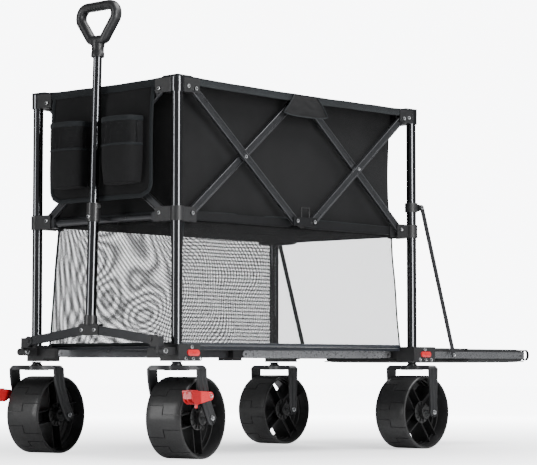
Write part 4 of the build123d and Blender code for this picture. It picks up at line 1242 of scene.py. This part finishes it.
def pedal_form():
    """The lever with its wide foot plate, three tread bars on top and a short stop below."""
    form = lever_loft(PEDAL_OUTLINE, PEDAL_NEAR - 0.0004, PEDAL_FAR + 0.0002)
    absorb(form, lever_loft(PEDAL_OUTLINE[:7], PEDAL_FAR + PEDAL_FOOT, PEDAL_FAR + 0.0002))
    front = PEDAL_U - PEDAL_REACH + 0.0012
    edge = PEDAL_FAR + PEDAL_FOOT
    lip_low = (front, PEDAL_FAR + 0.001, PEDAL_Z - 0.006)
    lip_high = (front + 0.0024, edge - 0.001, PEDAL_Z + 0.0125)
    absorb(form, slab(lip_low, lip_high, 0.0008))
    for k in range(3):
        u = PEDAL_U - 0.070 + 0.010 * k
        tread_low = (u, PEDAL_FAR + 0.004, PEDAL_Z + 0.0118)
        tread_high = (u + 0.003, edge - 0.004, PEDAL_Z + 0.0140)
        absorb(form, slab(tread_low, tread_high, 0.0006))
    stop_low = (PEDAL_U - 0.0575, PEDAL_FAR + 0.003, PEDAL_Z - 0.0270)
    stop_high = (PEDAL_U - 0.0490, PEDAL_FAR + 0.007, PEDAL_Z - 0.0160)
    absorb(form, slab(stop_low, stop_high, 0.0012))
    return form


for side, outward in SIDES.items():
    place = caster_frame["front", side]
    node = f"front_{side}_brake_pedal"
    form = bmesh.new()
    absorb(form, pedal_form(), place)
    hub = lathe([
        (0.0045, 0.0), (0.0092, 0.0), (0.0100, 0.001), (0.0100, 0.0150), (0.0090, 0.0164), (0.0045, 0.0164),
    ])
    absorb(form, hub, place @ facing(Vector((PEDAL_U, PEDAL_NEAR, PEDAL_Z)), (0, -1, 0)))
    piece = show(f"{node}_lever", form, red.material, node, 32)
    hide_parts(node)
    cap = bmesh.new()
    absorb(cap, rivet(), place @ facing(Vector((PEDAL_U, PEDAL_FAR - 0.0004, PEDAL_Z)), (0, -1, 0)))
    absorb(cap, lathe([(0.0075, -0.0022), (0.0075, -0.0002), (0.0045, 0.0)]),
           place @ facing(Vector((PEDAL_U, PEDAL_NEAR + 0.0004, PEDAL_Z)), (0, -1, 0)))
    show(f"{node}_pivot", cap, bright.material, f"front_{side}_caster")

BLOCK_FACE = 0.020
for end, toward in ENDS.items():
    node = f"{end}_left_lock_button"
    low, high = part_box(node)
    radius = (high.z - low.z) / 2
    length = high.x - low.x - 2 * radius
    rings = [(radius * 0.80, 0.0006), (radius * 0.94, 0.0010), (radius, 0.0024), (radius, high.y - low.y)]
    form = pill_loft(length, rings, 14)
    place = Matrix.Translation((low.x + radius, low.y, (low.z + high.z) / 2))
    made = bmesh.new()
    absorb(made, form, place)
    for k in range(3):
        u = low.x + radius + length * (0.3 + 0.2 * k)
        grip_low = (u - 0.0006, low.y - 0.0001, low.z + 0.004)
        grip_high = (u + 0.0006, low.y + 0.002, high.z - 0.004)
        absorb(made, slab(grip_low, grip_high, 0.0003))
    piece = show(f"{node}_cap", made, red.material, node, 32)
    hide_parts(node)
    middle_u = (low.x + high.x) / 2
    for side, outward in SIDES.items():
        face = post[end, side].y + outward * BLOCK_FACE
        dots = bmesh.new()
        absorb(dots, rivet(), facing(Vector((middle_u - 0.004, face, high.z + 0.0062)), (0, outward, 0)))
        for shift in (-0.024, 0.0, 0.024):
            absorb(dots, rivet(), facing(Vector((middle_u + shift, face, low.z - 0.0062)), (0, outward, 0)))
        show(f"{end}_{side}_block_screws", dots, bright.material, f"{end}_{side}_corner")
        if side == "right":
            mirror = Matrix.Diagonal((1, -1, 1, 1))
            far = bmesh.new()
            absorb(far, pill_loft(length, rings, 14), mirror @ place)
            show(f"{end}_right_lock_button_cap", far, red.material, f"{end}_right_corner", 32)


# ---- Pull handle yoke ----
# Two steel bars hinge on knuckles at the front blocks and meet in a moulded apex bracket. The bars lift into
# a steep roof as the cart closes. Zinc rivets hold every joint.
YOKE_FORWARD = 0.0465
YOKE_PITCH_Z = 0.249
HANDLE_LEAN = math.radians(1.6)

edge_nylon = Finish("knuckle_nylon", 0.42, coat=0.12, coat_roughness=0.25)
edge_nylon.tint(120, (0.0075, 0.0078, 0.0085), (0.018, 0.0185, 0.02))
edge_nylon.bump(edge_nylon.pebbles(850), 0.3, 0.0004)
for side, outward in SIDES.items():
    paint(f"yoke_{side}_end", edge_nylon.material)
    node = f"yoke_{side}_bar"
    paint(node, coat.material)
    low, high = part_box(f"yoke_{side}_end")
    spot = Vector((low.x + 0.0030, (low.y + 0.012) if outward > 0 else (high.y - 0.012), high.z - 0.0125))
    heads = bmesh.new()
    absorb(heads, rivet(), facing(spot, (-1, 0, 0)))
    show(f"yoke_{side}_end_rivet", heads, bright.material, f"yoke_{side}_end")
    pin = bmesh.new()
    for face in (-1, 1):
        knuckle_y = post["front", side].y - outward * 0.004
        at = Vector((near_post.x - YOKE_FORWARD, knuckle_y + face * 0.0142, YOKE_PITCH_Z))
        absorb(pin, ring_bolt(0.0062), facing(at, (0, face, 0)))
    show(f"yoke_{side}_pitch_bolt", pin, bright.material, f"front_{side}_corner")


# ---- Telescopic handle ----
# A glossy lower tube stands in the apex bracket, and the upper tube slides in it through a black collar with
# a spring button. The closed loop grip is moulded in black plastic on a short neck.
LEAN = math.tan(HANDLE_LEAN)
YOKE_FOOT = Vector((near_post.x - YOKE_FORWARD, middle.y, YOKE_PITCH_Z))
lower_finish = tube_and_moulding("handle_lower_finish", YOKE_FOOT, LEAN, 0.0131, 0.335, 0.5575)
paint("handle_lower_tube", lower_finish)
upper_finish = tube_and_moulding("handle_upper_finish", YOKE_FOOT, LEAN, 0.0125, 0.2, 2.0)
paint("handle_upper_tube", upper_finish)
paint("handle_lock_button", bright.material)


def leaned(x, y, z):
    """A point of the handle drawn upright in the yoke's plane."""
    rise = z - YOKE_FOOT.z
    return Vector((YOKE_FOOT.x + x + rise * LEAN, middle.y + y, z))


heads = bmesh.new()
for face in (-1, 1):
    absorb(heads, rivet(), facing(leaned(-0.0090, face * 0.022, 0.300), (-1, 0, 0.03)))
show("apex_rivets", heads, bright.material, "handle_lower")
heads = bmesh.new()
absorb(heads, rivet(), facing(leaned(-0.0166, 0, 0.570), (-1, 0, 0.03)))
show("collar_screw", heads, bright.material, "handle_lower")

NECK_FOOT = 0.954
LOOP_FOOT = 0.987
LOOP_TOP = 1.090
LOOP_HALF = 0.073
GRIP_SIDES = 16


def corner_arc(centre, radius, start, sweep, steps):
    return [
        (centre[0] + radius * math.cos(math.radians(start + sweep * k / steps)),
         centre[1] + radius * math.sin(math.radians(start + sweep * k / steps)))
        for k in range(steps + 1)
    ]


def grip_line():
    """The loop's centre line as (y, z): a flat top, round shoulders and sides drawn in to the neck."""
    bar = 0.0115
    top = LOOP_TOP - bar
    half = LOOP_HALF - bar
    right = corner_arc((half - 0.024, top - 0.024), 0.024, 90, -118, 14)
    foot = corner_arc((0.016, LOOP_FOOT + 0.021), 0.012, -28, -62, 8)
    line = right + foot
    return line + [(-y, z) for y, z in reversed(line)]


def swept_loop(line, wide, deep):
    """A closed loop with an oval section; wide lies in the loop's plane and deep across it."""
    form = bmesh.new()
    rows = []
    count = len(line)
    for k, (y, z) in enumerate(line):
        ahead, behind = line[(k + 1) % count], line[k - 1]
        run = Vector((0, ahead[0] - behind[0], ahead[1] - behind[1])).normalized()
        across = Vector((1, 0, 0)).cross(run)
        row = []
        for j in range(GRIP_SIDES):
            turn = 2 * math.pi * j / GRIP_SIDES
            c, s = math.cos(turn), math.sin(turn)
            bulge = across * wide * abs(c) ** 0.8 * (1 if c > 0 else -1)
            depth = deep * abs(s) ** 0.8 * (1 if s > 0 else -1)
            spot = Vector((0, y, z)) + bulge
            row.append(form.verts.new(leaned(depth, spot.y, spot.z)))
        rows.append(row)
    for k, lower in enumerate(rows):
        upper = rows[(k + 1) % count]
        for j in range(GRIP_SIDES):
            after = (j + 1) % GRIP_SIDES
            form.faces.new((lower[j], lower[after], upper[after], upper[j]))
    bmesh.ops.recalc_face_normals(form, faces=form.faces)
    return form


grip = swept_loop(grip_line(), 0.0112, 0.0135)
neck = lathe([
    (0.0112, 0.0), (0.0150, 0.0), (0.0162, 0.0012), (0.0162, 0.011), (0.0150, 0.0125), (0.0150, 0.022),
    (0.0165, 0.030), (0.0165, 0.040), (0, 0.041),
])
lean_turn = Matrix.Rotation(HANDLE_LEAN, 4, "Y")
absorb(grip, neck, Matrix.Translation(leaned(0, 0, NECK_FOOT)) @ lean_turn)
for k in range(7):
    rib_y = -0.030 + 0.009 * k
    rib = slab((-0.0142, rib_y, LOOP_TOP - 0.0215), (0.0142, rib_y + 0.004, LOOP_TOP - 0.0045), 0.002)
    absorb(grip, rib, Matrix.Translation(leaned(0, 0, LOOP_TOP) - Vector((0, 0, LOOP_TOP))))
piece = show("handle_grip_loop", grip, edge_nylon.material, "handle_upper", 40)
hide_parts("handle_grip")


# ---- Tailgate ----
# A padded flap on two steel rails that hinge on the rear blocks. The far half of the pad is a sewn sleeve
# round the rails, with a webbing loop at each end.
CLOTH_FRAMES = 20
panel_low, panel_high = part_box("tailgate_panel")
SLEEVE_START = post["rear", "left"].x + 0.226
SLEEVE_END = post["rear", "left"].x + 0.498
for side in SIDES:
    paint(f"tailgate_{side}_rail", pale_coat.material)

gate_cloth = cloth("tailgate_cloth", (0.006, 0.0062, 0.0068), (0.016, 0.0165, 0.018), "x", "y",
                   pitch=0.0018, wrinkle=0.3, sheen=0.1, rough=0.7)


def pillow(low, high, round_end, puff, nx, ny, nz):
    """A closed soft slab between two corners, with full edges and its far end rounded upright."""
    form = bmesh.new()
    bmesh.ops.create_cube(form, size=2.0)
    cuts = {0: nx, 1: ny, 2: nz}
    for axis, count in cuts.items():
        for k in range(1, count):
            place = [0.0, 0.0, 0.0]
            normal = [0.0, 0.0, 0.0]
            place[axis] = -1 + 2 * k / count
            normal[axis] = 1.0
            whole = form.verts[:] + form.edges[:] + form.faces[:]
            bmesh.ops.bisect_plane(form, geom=whole, plane_co=place, plane_no=normal)
    centre = (Vector(low) + Vector(high)) / 2
    half = (Vector(high) - Vector(low)) / 2
    for vert in form.verts:
        x, y, z = vert.co
        rim = max(abs(x), abs(y)) ** 6
        height = 1 - puff * rim
        far = centre.x + x * half.x
        if x > 0:
            far -= round_end * z * z * max(x, 0.0) ** 8
        vert.co = (far, centre.y + y * half.y * (1 - 0.006 * z * z), centre.z + z * half.z * height)
    bmesh.ops.recalc_face_normals(form, faces=form.faces)
    return form


def inflated(form, name, voxel=0.005, pressure=4.0, travel=0.006):
    """Blows up a closed soft shape a little with a cloth simulation, then eases it back within its travel."""
    mesh = bpy.data.meshes.new(name)
    form.to_mesh(mesh)
    form.free()
    bag = bpy.data.objects.new(name, mesh)
    bpy.context.collection.objects.link(bag)
    bpy.context.view_layer.objects.active = bag
    remesh = bag.modifiers.new("remesh", "REMESH")
    remesh.mode = "VOXEL"
    remesh.voxel_size = voxel
    first = bpy.data.meshes.new_from_object(bag.evaluated_get(bpy.context.evaluated_depsgraph_get()))
    bag.modifiers.clear()
    bag.data = first
    start = [vert.co.copy() for vert in first.vertices]
    soft = bag.modifiers.new("cloth", "CLOTH")
    soft.settings.use_pressure = True
    soft.settings.uniform_pressure_force = pressure
    soft.settings.tension_stiffness = 20
    soft.settings.compression_stiffness = 20
    soft.settings.shrink_min = -0.02
    soft.settings.effector_weights.gravity = 0.0
    soft.point_cache.frame_start = 1
    soft.point_cache.frame_end = CLOTH_FRAMES
    scene = bpy.context.scene
    for step in range(1, CLOTH_FRAMES + 1):
        scene.frame_set(step)
    blown = bag.evaluated_get(bpy.context.evaluated_depsgraph_get()).to_mesh()
    moved = [vert.co.copy() for vert in blown.vertices]
    bag.modifiers.clear()
    scene.frame_set(1)
    for vert, old, new in zip(first.vertices, start, moved):
        shift = new - old
        vert.co = old + shift * min(1.0, travel / max(shift.length, 1e-9))
    result = bmesh.new()
    result.from_mesh(bag.data)
    bpy.data.objects.remove(bag)
    for _ in range(2):
        bmesh.ops.smooth_vert(
            result, verts=result.verts, factor=0.5, use_axis_x=True, use_axis_y=True, use_axis_z=True
        )
    return result


board_low = (panel_low.x + 0.001, panel_low.y + 0.016, panel_high.z - 0.0115)
board_high = (SLEEVE_START + 0.006, panel_high.y - 0.016, panel_high.z)
board = inflated(pillow(board_low, board_high, 0.0, 0.12, 30, 40, 2), "board_source", 0.004, 3.0, 0.0015)
panel = show("tailgate_thin_pad", board, gate_cloth, "tailgate", 50)
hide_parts("tailgate_panel")
sleeve_low = (SLEEVE_START, panel_low.y + 0.001, panel_low.z + 0.002)
sleeve_high = (SLEEVE_END - 0.002, panel_high.y - 0.001, panel_high.z - 0.002)
sleeve = inflated(pillow(sleeve_low, sleeve_high, 0.010, 0.10, 34, 60, 6), "sleeve_source", 0.006, 4.0, 0.002)
sleeve_piece = show("tailgate_sleeve", sleeve, gate_cloth, "tailgate", 50)
gate_pieces = [panel, sleeve_piece]
seam_span = panel_high.y - panel_low.y - 0.008
seam_line = [
    Vector((SLEEVE_START + 0.004, panel_low.y + 0.004 + seam_span * k / 40, panel_high.z - 0.0015))
    for k in range(41)
]
piping = tube_along(seam_line, 0.0018, 8)
for side, outward in SIDES.items():
    y = panel_low.y + 0.002 if outward < 0 else panel_high.y - 0.002
    reach = SLEEVE_END - 0.014 - SLEEVE_START
    run = [Vector((SLEEVE_START + 0.002 + reach * k / 30, y, panel_high.z - 0.004)) for k in range(31)]
    absorb(piping, tube_along(run, 0.0016, 8))
    run = [Vector((point.x, point.y, panel_low.z + 0.004)) for point in run]
    absorb(piping, tube_along(run, 0.0016, 8))
gate_pieces.append(show("tailgate_piping", piping, tape, "tailgate", 60))
for side, outward in SIDES.items():
    centre = Vector((SLEEVE_END + 0.011, post["rear", side].y, panel_low.z + 0.019))
    loop = bmesh.new()
    rows = []
    for k in range(37):
        turn = 2 * math.pi * k / 36
        reach = 0.0130 + 0.002 * math.sin(turn)
        spot = centre + Vector((math.cos(turn) * reach, 0, math.sin(turn) * reach * 1.05))
        rows.append([
            loop.verts.new(spot + Vector((0, wide, 0)) + (spot - centre).normalized() * thick)
            for wide, thick in ((-0.0045, 0.0), (-0.0045, 0.0013), (0.0045, 0.0013), (0.0045, 0.0))
        ])
    for lower, upper in zip(rows, rows[1:]):
        for k in range(4):
            after = (k + 1) % 4
            loop.faces.new((lower[k], lower[after], upper[after], upper[k]))
    bmesh.ops.recalc_face_normals(loop, faces=loop.faces)
    gate_pieces.append(show(f"tailgate_{side}_pull_loop", loop, tape_ends, "tailgate", 40))
for piece in gate_pieces:
    fold_across(piece)


# ---- Tailgate stays ----
# Flat steel stays join the rails to clamp collars that slide on the rear posts. Each collar has a moulded
# knob, and a rivet holds the stay at both ends.
for side, outward in SIDES.items():
    paint(f"tailgate_{side}_strut", coat.material)
    paint(f"{side}_strut_collar", nylon.material)
    low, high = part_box(f"tailgate_{side}_strut")
    face = low.y if outward < 0 else high.y
    heads = bmesh.new()
    absorb(heads, rivet(), facing(Vector((high.x - 0.007, face, low.z + 0.007)), (0, outward, 0)))
    absorb(heads, rivet(), facing(Vector((low.x + 0.007, face, high.z - 0.007)), (0, outward, 0)))
    show(f"tailgate_{side}_strut_rivets", heads, bright.material, f"tailgate_{side}_strut")
    knob = lathe([
        (0.0, 0.010), (0.0060, 0.0098), (0.0075, 0.008), (0.0080, 0.003), (0.0068, 0.0), (0.0, 0.0),
    ], 24)
    collar_low, collar_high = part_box(f"{side}_strut_collar")
    spot = Vector((post["rear", side].x + 0.0160, post["rear", side].y, (collar_low.z + collar_high.z) / 2))
    made = bmesh.new()
    absorb(made, knob, facing(spot, (1, 0, 0)))
    show(f"{side}_strut_collar_knob", made, nylon.material, f"{side}_strut_collar")
